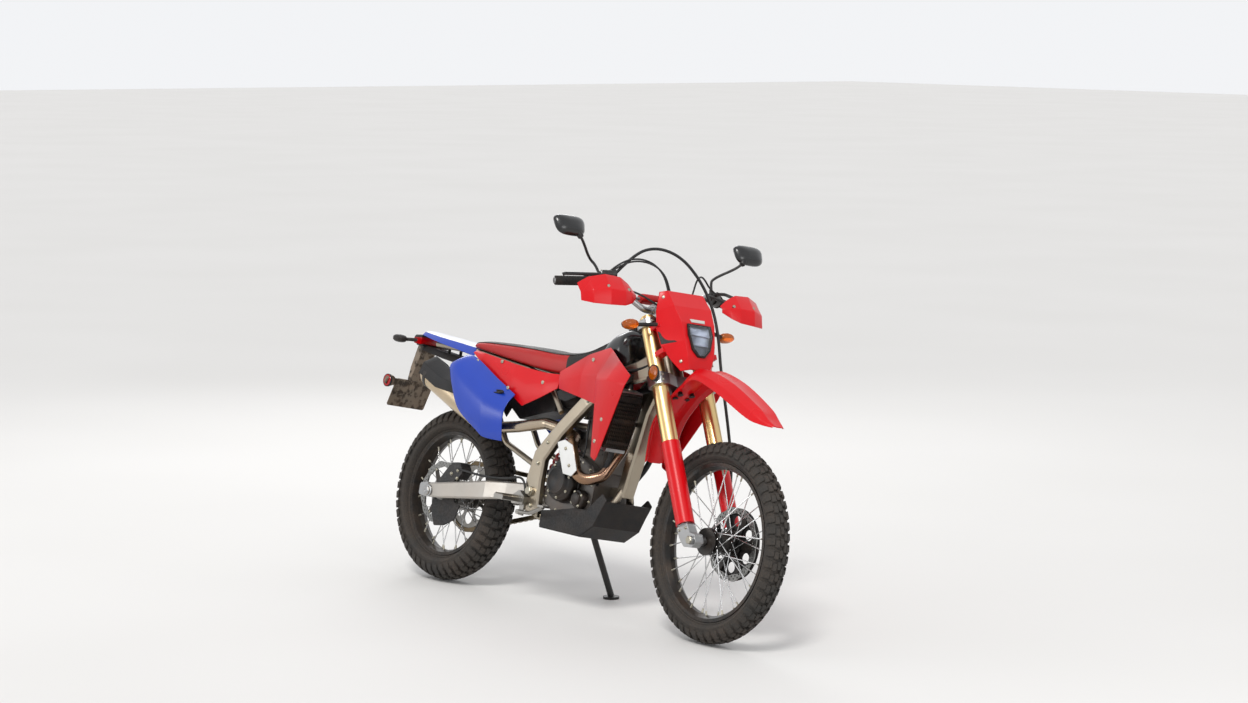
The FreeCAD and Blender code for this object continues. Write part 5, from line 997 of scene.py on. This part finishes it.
def silencer_spot(t, r, angle):
    """A point on the silencer by the way from its front, radius and angle, and the way out there."""
    out = OUTWARD * math.cos(angle) + UPWARD * math.sin(angle)
    return SILENCER + ALONG * (t / 1000) + out * (r / 1000), out


def silencer_r(t):
    return 42.0 + 11.0 * t / 204 if t < 204 else 53.0 + 3.0 * (t - 204) / 210


def heat_shield():
    """The black creased guard on the silencer's outer and upper rear."""
    rows = []
    high = math.radians(128)
    for k in range(15):
        t = 120 + 322 * k / 14
        low = math.radians(62 - 74 * min(1.0, (k / 9.0) ** 0.8))
        rows.append([silencer_spot(t, silencer_r(t) + proud, low + (high - low) * share)[0] for share, proud in
                     ((0.0, 3.5), (0.24, 6.5), (0.3, 11.5), (0.66, 11.5), (0.72, 6.5), (1.0, 3.5))])
    return rows


chassis.lathe("silencer", [
    (0, 0), (24, 0), (26, 2), (34, 12), (41, 21), (43, 26), (44.5, 30), (53, 204), (54.6, 320), (55.4, 398),
    (56.6, 400), (56.6, 402), (55.6, 404), (56, 424), (55, 436), (50, 447), (40, 452), (26, 453.5), (22, 453),
    (20.5, 450), (20, 395), (0, 395)], SILENCER, ALONG, "exhaust", "silencer_alloy", "silencer", 120)
chassis.lathe("silencer_strap", [(56, 0), (58.5, 0.5), (59, 3), (59, 15), (58.5, 17.5), (56, 18)],
              SILENCER + ALONG * 0.402, ALONG, "exhaust", "satin_black")
rivets = chassis.parts("silencer_rivets", "exhaust")
for t, r in ((34, 44.6), (392, 55.3)):
    for i in range(14):
        rivets.turned(*silencer_spot(t, r, TAU * i / 14), [(3.4, -1.0), (3.4, 0.6), (2.2, 1.8)], 10)
rivets.done()
chassis.cover("silencer_shield", heat_shield(), "exhaust", "shield_black", thick=2.6, fold=2.0, fold_angle=14.0)

INNER_PANEL = [(652, 772), (700, 800), (790, 818), (905, 852), (950, 770), (958, 590), (940, 586), (930, 690),
               (908, 760), (872, 792), (826, 794), (764, 768), (706, 742), (668, 748)]
for side, word in SIDES:
    chassis.plate(f"inner_panel_{word}", [[(x - 800, z - 750) for x, z in INNER_PANEL]], 3.0,
                  (800, side * 126.5, 750), RIGHT, SKY, "black_plastic", "black_plastic", bevel=1.0)


def across(target, side, outline, y0, y1):
    """A solid of one outline of (x, z) between two sides."""
    target.prism([[(x, side * y, z) for x, z in outline] for y in (y0, y1)])


# Radiator grilles before the cores, with their tanks
grille = chassis.parts("radiator_grilles", "radiator_black", "radiator_black")
tanks = chassis.parts("radiator_tanks", "radiator_black", "clamp_alloy")
for side in (-1, 1):
    for y in [62 + 8.5 * i for i in range(13)]:
        grille.prism([[(x + dx, side * (y + dy), z - 0.21 * dx) for dx, dy in
                       ((0, -1.3), (11, -0.7), (11, 0.7), (0, 1.3))] for x, z in ((999.5, 612), (1036, 798))])
    for x, z in ((1002, 622), (1018, 702), (1033, 782)):
        across(grille, side, ((x, z), (x + 9, z - 2), (x + 11, z + 8), (x + 2, z + 10)), 60, 166)
    across(tanks, side, ((951, 600), (999, 591), (1003, 603), (955, 613)), 64, 152)
    across(tanks, side, ((998, 804), (1040, 796), (1046, 812), (1002, 821)), 62, 164)
grille.done()
tanks.done()

frame_bolts = chassis.parts("frame_bolts", "alloy_frame")
for side in (-1, 1):
    for x, z, y, size in ((604, 505, 122, 8.0), (600, 348, 122, 8.0), (862, 774, 99, 9.0), (640, 585, 122, 7.0),
                          (824, 756, 122, 6.0)):
        frame_bolts.bolt((x, side * y, z), SIDE * side, size)
    frame_bolts.turned((590, side * 128.5, 400), SIDE * side, [(19, 0), (19, 2), (16, 3), (16, 9), (14, 11)], 6)
    for x, z, y in ((300, 850, 121), (560, 797, 126), (190, 838, 150), (395, 757, 150), (830, 905, 133),
                    (995, 700, 190), (960, 620, 176)):
        frame_bolts.turned((x, side * y, z), SIDE * side,
                           [(7.5, 0), (7.5, 1.6), (5.5, 3.2), (2.5, 3.2), (2.0, 1.6)])
frame_bolts.bolt((900, 0, 800), SKY)
frame_bolts.done()

axle_ends = chassis.parts("swingarm_ends", "alloy_frame", "clamp_alloy")
for side in (-1, 1):
    axle_ends.prism([[(x, side * y, z) for y, z in ((103, low), (135.5, low), (135.5, top), (103, top))]
                     for x, top, low in ((-52, 344, 312), (-46, 352, 306), (-8, 358, 303), (-4, 356, 305))])
    for z in (318, 338):
        axle_ends.turned((-52, side * 119, z), -FORE, [(4.5, -2), (4.5, 2), (7.5, 2), (7.5, 7), (4, 7), (4, 12)], 12)
    for y, profile, sides in ((134.5, [(24, 0), (24, 2.5), (22, 3.5)], 40),
                              (138, [(17.5, 0), (17.5, 5.5), (15.5, 7)], 6),
                              (138, [(10, 0), (10, 8.5), (6, 8.5), (6, 4)], 24)):
        axle_ends.turned((0, side * y, REAR_R), SIDE * side, profile, sides)
axle_ends.done()
caliper_bolts = chassis.parts("rear_caliper_bolts", "caliper_metal")
for x, z in ((80, 404), (116, 420), (118, 390)):
    caliper_bolts.bolt((x, -98, z), RIGHT)
caliper_bolts.done()


def make_shock():
    low, top = V((512, 0, 372)), V((676, 0, 652))
    along, length = (top - low).normalized(), (top - low).length
    side, axis = along.cross(LEFT), direction(bike, low, top)
    chassis.lathe("shock_body", [
        (0, 0), (12, 0), (13, 4), (13, 96), (20, 100), (34, 104), (36, 108), (36, 112), (22, 116), (21, length - 60),
        (24, length - 44), (34, length - 42), (35, length - 36), (27, length - 30), (26, length - 8), (18, length),
        (0, length)], tuple(low), axis, "shock_metal", "satin_black", "shock", 48)
    turns, per, wire_r = 6.5, 16, 32
    count = int(turns * per)
    coil = []
    for i in range(count + 1):
        c, s = polar(wire_r, TAU * i / per)
        coil.append(tuple(low + along * (112 + (length - 160) * i / (turns * per)) + side * c + LEFT * s))
    chassis.pipe("shock_spring", coil, 5.6, "shock_metal", "spring_red", resolution=5)
    chassis.lathe("shock_reservoir", [(0, 0), (18, 0), (20, 3), (20, 92), (18, 95), (0, 95)], (640, 44, 560), axis,
                  "shock_metal", "clamp_alloy", steps=40)


make_shock()
Body("side_stand", bike).parts("stand_spring_ends", "dark_steel").turned(
    (624, 150, 306), direction(bike, (622, 141, 330), (635, 176, 258)), [(5, 0), (5, 40), (3, 44)], 12).done()


# Rear lamps, signals and plate

tail = chassis.parts("tail_housing", "tail_lens", "black_plastic")
tail.prism([[(x, y, z) for x, z in ((-288, 909 - inset), (-334 + inset, 906 - inset), (-341 + inset, 899 - inset),
                                    (-330, 896), (-290, 898))] for y, inset in ((-64, 3), (-58, 0), (58, 0), (64, 3))])
across(tail, 1, ((-288, 872), (-334, 874), (-328, 866), (-292, 864)), -54, 54)
tail.done()


def signal(body, name, side, centre, stations, dark_side, stalk):
    """A tapered signal, whose faces on the dark side take the second finish, and its stalk."""
    rings = []
    for y, long, tall in stations:
        outline = circle(long, 24, *centre, tall=tall, power=0.8)
        rings.append([(x, side * y, z) for x, z in outline])
    near, far, way, least = dark_side
    word = "left" if side > 0 else "right"
    obj = body.parts(f"{name}_signal_{word}", "amber_lens", [near, far], 0.9).prism(rings).done(
        f"{name}_signals" if side < 0 else None)
    for polygon in obj.data.polygons:
        if polygon.normal.dot(way) < least:
            polygon.material_index = 1
    body.pipe(f"{name}_signal_stalk_{word}", [(x, side * y, z) for x, y, z in stalk], 7.0, "amber_lens",
              "black_plastic")


for side, word in SIDES:
    signal(chassis, "rear", side, (-368, 880),
           [(88, 8, 6), (91, 22, 11), (97, 28, 14), (108, 31, 15.5), (120, 29, 14.5), (128, 22, 11), (132, 12, 6)],
           ("black_plastic", "lens_smoke", FORE, -0.35), [(-322, 56, 884), (-338, 76, 883), (-352, 92, 880)])
    signal(front, "front", side, (62, 802),
           [(188, 9, 7), (192, 17, 11), (200, 22, 14), (214, 25, 16), (230, 23, 15), (242, 18, 11.5), (249, 11, 7),
            (252, 4, 3)], ("lens_amber", "black_plastic", FORK_AHEAD, -0.3),
           [(92, 118, 800), (82, 152, 800), (68, 192, 801)])

chassis.lathe("side_reflector_rear", [(0, 0), (22, 0), (23, 2), (23, 6), (21, 8), (0, 9)], (-380, -122, 712),
              RIGHT, "tail_lens", "lens_red", steps=48)
chassis.lathe("side_reflector_rear_ring", [(23, 0), (25, 0), (25, 7.4), (23.2, 8)], (-380, -121.5, 712), RIGHT,
              "tail_lens", "black_plastic", steps=48)


def blank_plate():
    top, low = V((-372, 0, 726)), V((-412, 0, 618))
    up = direction(bike, low, top)
    back = direction(bike, (0, 0, 0), LEFT.cross((top - low).normalized()))
    if back.dot(FORE) > 0:
        back = -back
    outline = []
    for turn, (cx, cy) in enumerate(((80, 47), (-80, 47), (-80, -47), (80, -47))):
        for k in range(5):
            x, y = polar(9, math.pi / 2 * (turn + k / 4))
            outline.append((cx + x, cy + y))
    chassis.plate("blank_plate", [outline], 1.0, bike(*((top + low) / 2)) + back * 0.0003 + up * 0.0022, back, up,
                  "black_plastic", "dull_white", bevel=0.3)
    heads = chassis.parts("plate_bolts", "black_plastic")
    for y in (-60, 60):
        heads.turned(bike(top.x * 0.9 + low.x * 0.1, y, top.z * 0.9 + low.z * 0.1) + back * 0.0006, back,
                     [(7, 0), (7, 0.7), (5, 1.2)], 16)
    heads.done()


blank_plate()
boxes = chassis.parts("relay_boxes", "black_plastic", "black_plastic")
for side in (-1, 1):
    for x, y, z in ((985, 94, 862), (945, 112, 836)):
        boxes.prism([[(x + i * (20 - inset), side * (y + dy), z + j * (14 - inset))
                      for i, j in ((-1, -1), (1, -1), (1, 1), (-1, 1))]
                     for dy, inset in ((-12, 2), (-9, 0), (9, 0), (12, 2))])
boxes.done()


# Front end

# name, profile, (a, y, s), whether the axis is across, slot, finish, steps
FORK_TURNINGS = [
    ("fork_cap", [(0, 0), (22.5, 0), (22.5, 5), (21, 7), (13, 7.6), (12, 9), (12, 12), (9, 13.5), (0, 13.5)],
     (FORK_A, FORK_Y, 852), False, "fork_gold", "cap_gold", 48),
    ("fork_seal", [(24.8, -16), (27, -16), (29.4, -13), (29.6, -2), (28, 0), (24.8, 0)],
     (FORK_A, FORK_Y, 330), False, "slider_chrome", "hose_rubber", 64),
    ("fork_reflector_ring", [(0, -6), (20, -6), (26, 0), (29, 2), (29, 7), (26.5, 8), (25, 6), (0, 5)],
     (56, 141, 627), True, "amber_lens", "black_plastic", 64),
    ("fork_reflector", [(0, 4), (25, 4), (25, 7), (23, 8.4), (12, 9.2), (0, 9.6)],
     (56, 141, 627), True, "amber_lens", "lens_amber", 64),
]
clamp_bolts = front.parts("clamp_bolts", "clamp_alloy")
for side, word in SIDES:
    for name, profile, (a, y, s), sideways, slot, material, steps in FORK_TURNINGS:
        front.lathe(f"{name}_{word}", profile, (a, side * y, s), FORK_SIDE * side if sideways else FORK_UP, slot,
                    material, steps=steps)
    for s in (600, 620, 826):
        clamp_bolts.turned((67, side * 118, s), FORK_AHEAD, [(5.4, -2), (5.4, 4), (4.4, 5), (2.6, 5), (2.4, 2)], 16)
    for a in (-4, 28):
        clamp_bolts.turned((a, side * 51, 918), FORK_UP, [(6, -3), (6, 3), (5, 4), (3, 4), (2.6, 1)], 16)
    for a, s in ((12, 56), (46, 52), (70, -2)):
        clamp_bolts.bolt((a, side * 120, s), FORK_SIDE * side, 5.0)
    clamp_bolts.turned((64.1, side * 130, 0), FORK_SIDE * side, [(15, 0), (15, 4), (13, 6)], 6)
    clamp_bolts.turned((FORK_A, side * FORK_Y, 868.5), FORK_UP, [(4, -5), (4, 1), (2, 1.6)], 10)
clamp_bolts.turned((0, 0, 849), FORK_UP, [(19, 0), (19, 3), (16, 5), (16, 10), (13, 12)], 6)
for a, s in ((-70, 24), (-12, 78), (-44, 60)):
    clamp_bolts.bolt((a, 92, s), FORK_SIDE)
for i in range(3):
    clamp_bolts.turned(front_wheel.spot(118, 80, TAU * i / 3), FORK_SIDE, [(5, -1), (5, 2), (4, 3)], 12)
clamp_bolts.done()

COWL_ROWS = [
    # s, front a, front half, back a, back half
    (918, 134, 80, 116, 104), (850, 158, 84, 96, 118), (782, 170, 74, 84, 122), (716, 164, 66, 92, 122),
    (660, 151, 58, 100, 94), (618, 134, 46, 112, 70),
]
FACE_ROWS = [(640, 156), (684, 165), (736, 177), (800, 177)]


def row_at(rows, s):
    """The values of a table at a height between two of its rows."""
    for one, two in zip(rows, rows[1:]):
        if min(one[0], two[0]) <= s <= max(one[0], two[0]):
            k = (s - one[0]) / (two[0] - one[0])
            return [p + (q - p) * k for p, q in zip(one[1:], two[1:])]


def cowl_at(s, share, side, proud):
    """A point of the cowl's side facet, from its front fold (0) to its back edge (1)."""
    a0, y0, a1, y1 = row_at(COWL_ROWS, s)
    out = V((y1 - y0, a0 - a1, 0)).normalized() * proud
    return fork(a0 + (a1 - a0) * share + out.x, side * (y0 + (y1 - y0) * share + out.y), s)


recess = front.parts("cowl_recesses", "red_plastic", "black_plastic")
cowl_screws = front.parts("cowl_screws", "red_plastic")
for side in (-1, 1):
    recess.prism([[cowl_at(s, u, side, proud) for s, u in ((776, 0.97), (717, 0.34), (722, 0.97))]
                  for proud in (0.2, 1.0)])
    for s, u in ((895, 0.55), (650, 0.5)):
        out = (cowl_at(s, u, side, 10) - cowl_at(s, u, side, 0)).normalized()
        cowl_screws.turned(cowl_at(s, u, side, 0), out, [(6, -0.5), (6, 1.4), (4.4, 2.4), (2, 2.4)], 16)
recess.done()
cowl_screws.done()
front.plate("cowl_plate", [[(-33, 7), (33, 7), (30, -6), (-30, -6)]], 2.0, (169.6, 0, 791),
            FORK_AHEAD + FORK_UP * 0.176, FORK_UP, "red_plastic", "dull_white", bevel=0.6)

LAMP_TOP = 776
LAMP = [(52, LAMP_TOP), (54, 736), (40, 684), (16, 660)]


def lamp_ring(inset, back):
    """The lamp's outline, moved in and back from its sloping face; back None is its flat back."""
    ring = [(y - inset, s - inset if s == LAMP_TOP else s + inset * 0.7) for y, s in LAMP]
    return [(118 if back is None else row_at(FACE_ROWS, s)[0] - back, y, s)
            for y, s in [(-y, s) for y, s in ring] + ring[::-1]]


def make_lamp():
    front.parts("lamp_bezel", "lamp_clear", "black_plastic").prism(
        [lamp_ring(0, None), lamp_ring(0, 1.5), lamp_ring(1.2, 0.0), lamp_ring(5.0, 0.4), lamp_ring(6.0, 16)]
    ).done("headlight")
    housing = front.parts("lamp_housing", "lamp_clear", "black_plastic")
    housing.prism([[(a, y, s) for y, s in ((-36, 678), (36, 678), (36, 768), (-36, 768))] for a in (98, 122)])
    for side in (-1, 1):
        housing.prism([[(a, side * y, s) for y, s in ((62, 713), (75, 713), (75, 727), (62, 727))]
                       for a in (52, 100)])
    housing.done()
    # height, half width, lift of each row of the fluted mirror
    levels, flutes = ((769, 47, 0), (737, 46, 0), (735, 45, 4), (703, 39, 0), (701, 38, 4), (668, 19, 0)), 10
    verts = [(row_at(FACE_ROWS, s)[0] - (9.0 if i % 2 else 13.5) - lift, half * (i / flutes - 1), s)
             for s, half, lift in levels for i in range(2 * flutes + 1)]
    front.piece("lamp_reflector", verts, quads(len(levels), 2 * flutes + 1, closed=False), "lamp_clear",
                "lamp_mirror", smooth=0.2)
    front.parts("lamp_glass", "lamp_clear", "lens_clear", 0.3).prism(
        [lamp_ring(5.2, 3.4), lamp_ring(5.2, 0.6), lamp_ring(9.0, -0.6)]).done()


make_lamp()
GRIP_END, GRIP_ROOT = (-75, 412, 1008), (-8, 222, 1000)


def bar_at(distance, side):
    """A point on the straight grip run, and its outward direction."""
    end, inner = [fork(a, side * y, s) for a, y, s in (GRIP_END, GRIP_ROOT)]
    out = (end - inner).normalized()
    return end - out * (distance / 1000), out


def make_mirror(side, word):
    centre_a, centre_y, centre_s = 53, 410, 1160

    def ring(depth, wide, high):
        return [(centre_a + depth, side * (centre_y + y * (1.0 + 0.10 * z / high)), centre_s + z)
                for y, z in circle(wide, 40, tall=high, power=0.62)]

    front.parts(f"mirror_{word}", "black_plastic", "mirror_black", 0.7).prism(
        [ring(0, 62, 37.8), ring(1.5, 64, 38.6), ring(5, 65, 39.0), ring(9, 64, 38.6), ring(17, 56, 34),
         ring(24, 43, 25), ring(29, 24, 13), ring(30, 10, 6)]).done("mirrors" if side < 0 else None)
    front.parts(f"mirror_glass_{word}", "black_plastic", "mirror_glass", 0.3).prism(
        [ring(-0.2, 58, 34.5), ring(0.6, 58, 34.5)]).done()
    root, out = bar_at(166, side)
    foot = root + FORK_AHEAD * 0.012 + FORK_UP * 0.008
    ball = fork(centre_a + 8, side * (centre_y - 34), centre_s - 30)
    front.pipe(f"mirror_stem_{word}", [foot, foot + FORK_UP * 0.045 + out * 0.006, foot + FORK_UP * 0.075 + out * 0.03,
                                       ball - FORK_UP * 0.02 - FORK_SIDE * side * 0.012, ball], 5.0,
               "black_plastic", "satin_black", resolution=5)
    for name, profile, base, axis, steps in (
            ("joint", [(0, -16), (8, -16), (11, -12), (12, 0), (14, 12), (10, 16), (0, 16)], ball,
             FORK_UP * 0.8 + FORK_SIDE * side * 0.5, 28),
            ("nut", [(0, 0), (10, 0), (10, 9), (8, 11), (7, 22), (0, 22)], foot, FORK_UP, 6)):
        front.lathe(f"mirror_{name}_{word}", profile, base, axis, "black_plastic", "satin_black", steps=steps)


def make_grip(side, word):
    start, out = bar_at(118, side)
    profile = [(11.6, 0), (24, 0), (24, 3.4), (22, 5), (18.6, 6)]
    for t in (9 + i * 5.6 for i in range(18)):
        profile += [(16.0, t), (17.0, t + 0.9), (17.0, t + 3.4), (16.0, t + 4.3)]
    profile += [(17.0, 110), (17.0, 112.5), (15.5, 114), (11.6, 114)]
    front.lathe(f"grip_{word}", profile, start, out, "grip_rubber", "grip_rubber", "grips" if side < 0 else None,
                64, 0.5)
    front.lathe(f"bar_end_{word}", [(0, 0), (10.8, 0), (10.8, 2), (0, 3)], bar_at(2.2, side)[0], out, "bar_silver",
                "satin_black", steps=32)


HAND_ROWS = [
    # y, top a, top s, low a, low s, bulge
    (196, 88, 916, 92, 888, 5), (226, 99, 940, 104, 862, 9), (262, 106, 958, 110, 846, 14),
    (326, 104, 962, 108, 842, 15), (384, 78, 956, 84, 852, 11), (410, 44, 944, 50, 874, 5),
]


def make_hand_guard(side, word):
    rows = [[(ta, side * y, ts), ((ta + la) / 2 + bulge * 0.4, side * y, ts * 0.72 + ls * 0.28),
             (la + bulge, side * y, ts * 0.45 + ls * 0.55), (la, side * y, ls)]
            for y, ta, ts, la, ls, bulge in HAND_ROWS]
    front.cover(f"hand_guard_{word}", rows, "red_plastic", "red_plastic", "hand_guards" if side < 0 else None,
                fold=3.0, fold_angle=6.0)
    root = bar_at(190, side)[0]
    front.pipe(f"hand_guard_strut_{word}", [root + FORK_AHEAD * 0.008, root + FORK_AHEAD * 0.06 - FORK_UP * 0.03,
                                            (111, side * 236, 900)], 6.0, "red_plastic", "black_plastic")
    screws = front.parts(f"hand_guard_screws_{word}", "red_plastic")
    for y, a, s in ((240, 114, 908), (330, 116, 910)):
        screws.turned((a, side * y, s), FORK_AHEAD, [(6, -2), (6, 1.4), (4.4, 2.4)], 16)
    screws.done()


for side, word in SIDES:
    make_mirror(side, word)
    make_grip(side, word)
    make_hand_guard(side, word)

front.pipe("brake_hose", [(34, -222, 1008), (70, -150, 1080), (92, -60, 1112), (112, 30, 1080), (112, 100, 1000),
                          (106, 142, 900), (98, 152, 790), (76, 150, 650), (66, 148, 480), (38, 152, 300),
                          (0, 138, 180), (-38, 84, 88)], 5.4, "grip_rubber", replaces="brake_hose")
for name, radius, points in (
        ("clutch_cable_front", 3.4, [(20, 250, 1001), (34, 212, 1010), (62, 172, 1028), (86, 134, 1026),
                                     (100, 98, 1000), (100, 68, 945), (80, 44, 880), (60, 36, 850)]),
        ("throttle_cable_1", 3.2, [(14, -258, 1002), (56, -214, 1046), (88, -130, 1062), (102, -60, 1020),
                                   (96, -40, 930), (76, -34, 870)]),
        ("throttle_cable_2", 3.2, [(14, -258, 997.5), (56, -214, 1037), (88, -130, 1053), (110, -60, 1011),
                                   (96, -32, 930), (76, -26, 870)]),
        ("switch_wires", 3.6, [(-16, -240, 996), (24, -180, 962), (48, -110, 930), (66, -60, 880)]),
        ("switch_wires_left", 3.6, [(-16, 240, 996), (24, 180, 962), (48, 110, 930), (66, 60, 880)])):
    front.pipe(name, points, radius, "grip_rubber")

lid_screws = front.parts("reservoir_lid", "black_plastic")
start, out = bar_at(178, -1)
for k in (-0.018, 0.0, 0.018):
    lid_screws.turned(start + FORK_AHEAD * 0.042 + out * (0.006 + k) + FORK_UP * 0.022, FORK_UP,
                      [(3.2, 0), (3.2, 2), (2.4, 2.8)], 10)
lid_screws.done()
front.lathe("start_switch", [(0, 0), (6, 0), (6, 5), (5, 6), (0, 6)], bar_at(138, -1)[0] - FORK_AHEAD * 0.021,
            -FORK_AHEAD, "black_plastic", "spring_red", steps=24)

# Screen and keys on the rider's side of the instrument
front.parts("instrument_screen", "black_plastic", "screen", 0.3).prism(
    [[(62.6 + (s - 898) * -0.06 - d, y, s) for y, s in ((-48, 874), (48, 874), (48, 918), (-48, 918))]
     for d in (-2.0, 0.6)]).done()
keys = front.parts("instrument_keys", "black_plastic", "grip_rubber")
for y in (-55.5, 55.5):
    keys.turned((63.5, y, 896), -FORK_AHEAD, [(4.5, -2), (4.5, 2.2), (3.5, 3)], 16)
keys.done()


# Floor, light and world

FLOOR_HALF = 60
BACKGROUND_STRENGTH = 0.96


def make_stage():
    mesh = bpy.data.meshes.new("floor")
    mesh.from_pydata([(x * FLOOR_HALF, y * FLOOR_HALF, 0) for x, y in ((-1, -1), (1, -1), (1, 1), (-1, 1))], [],
                     [(0, 1, 2, 3)])
    floor = add("floor", mesh)
    n = new_material("floor")
    n.feed("Base Color", n.mix(n.ramp(n.noise(0.6, 1.0), 0.3, 0.7), linear((0.875, 0.87, 0.862)),
                               linear((0.885, 0.88, 0.873))))
    n.feed("Roughness", 0.75)
    mesh.materials.append(MATERIALS["floor"])

    world = bpy.data.worlds.new("studio")
    bpy.context.scene.world = world
    n = Nodes(world, "Background")
    n.feed("Color", (0.93, 0.94, 0.96, 1))
    rays = n.add("ShaderNodeLightPath").outputs
    seen = n.math("MAXIMUM", rays["Is Camera Ray"], rays["Is Transmission Ray"])
    seen = n.math("MAXIMUM", seen, rays["Is Glossy Ray"])
    split = n.add("ShaderNodeSeparateXYZ")
    n.feed(split.inputs["Vector"], n.add("ShaderNodeTexCoord").outputs["Generated"])
    strength = n.add("ShaderNodeMix")
    for index, value in ((0, seen), (2, n.ramp(split.outputs["Z"], -0.1, 0.9, 0.24, 0.84)), (3, BACKGROUND_STRENGTH)):
        n.feed(strength.inputs[index], value)
    n.feed("Strength", strength.outputs[0])


def area_light(name, at, aim, size, power):
    data = bpy.data.lights.new(name, "AREA")
    data.shape, data.size, data.size_y, data.energy = "RECTANGLE", *size, power
    light = add(name, data)
    light.location = at
    light.rotation_euler = (V(aim) - V(at)).to_track_quat("-Z", "Y").to_euler()


make_stage()
bpy.context.scene.view_settings.view_transform = "Standard"
sun = bpy.data.lights.new("sun", "SUN")
sun.energy, sun.angle, sun.color = 1.5, math.radians(16), (1.0, 0.985, 0.96)
add("sun", sun).rotation_euler = V((-1.4, 2.2, -3.4)).to_track_quat("-Z", "Y").to_euler()
area_light("front", (5.4, -1.0, 2.4), (0.3, 0, 0.7), (2.2, 2.2), 45)
area_light("rear", (-4.4, 2.6, 3.6), (0, 0, 0.8), (2.6, 2.0), 60)
area_light("right", (-3.0, -4.6, 1.8), (-0.2, 0, 0.5), (2.2, 1.2), 30)
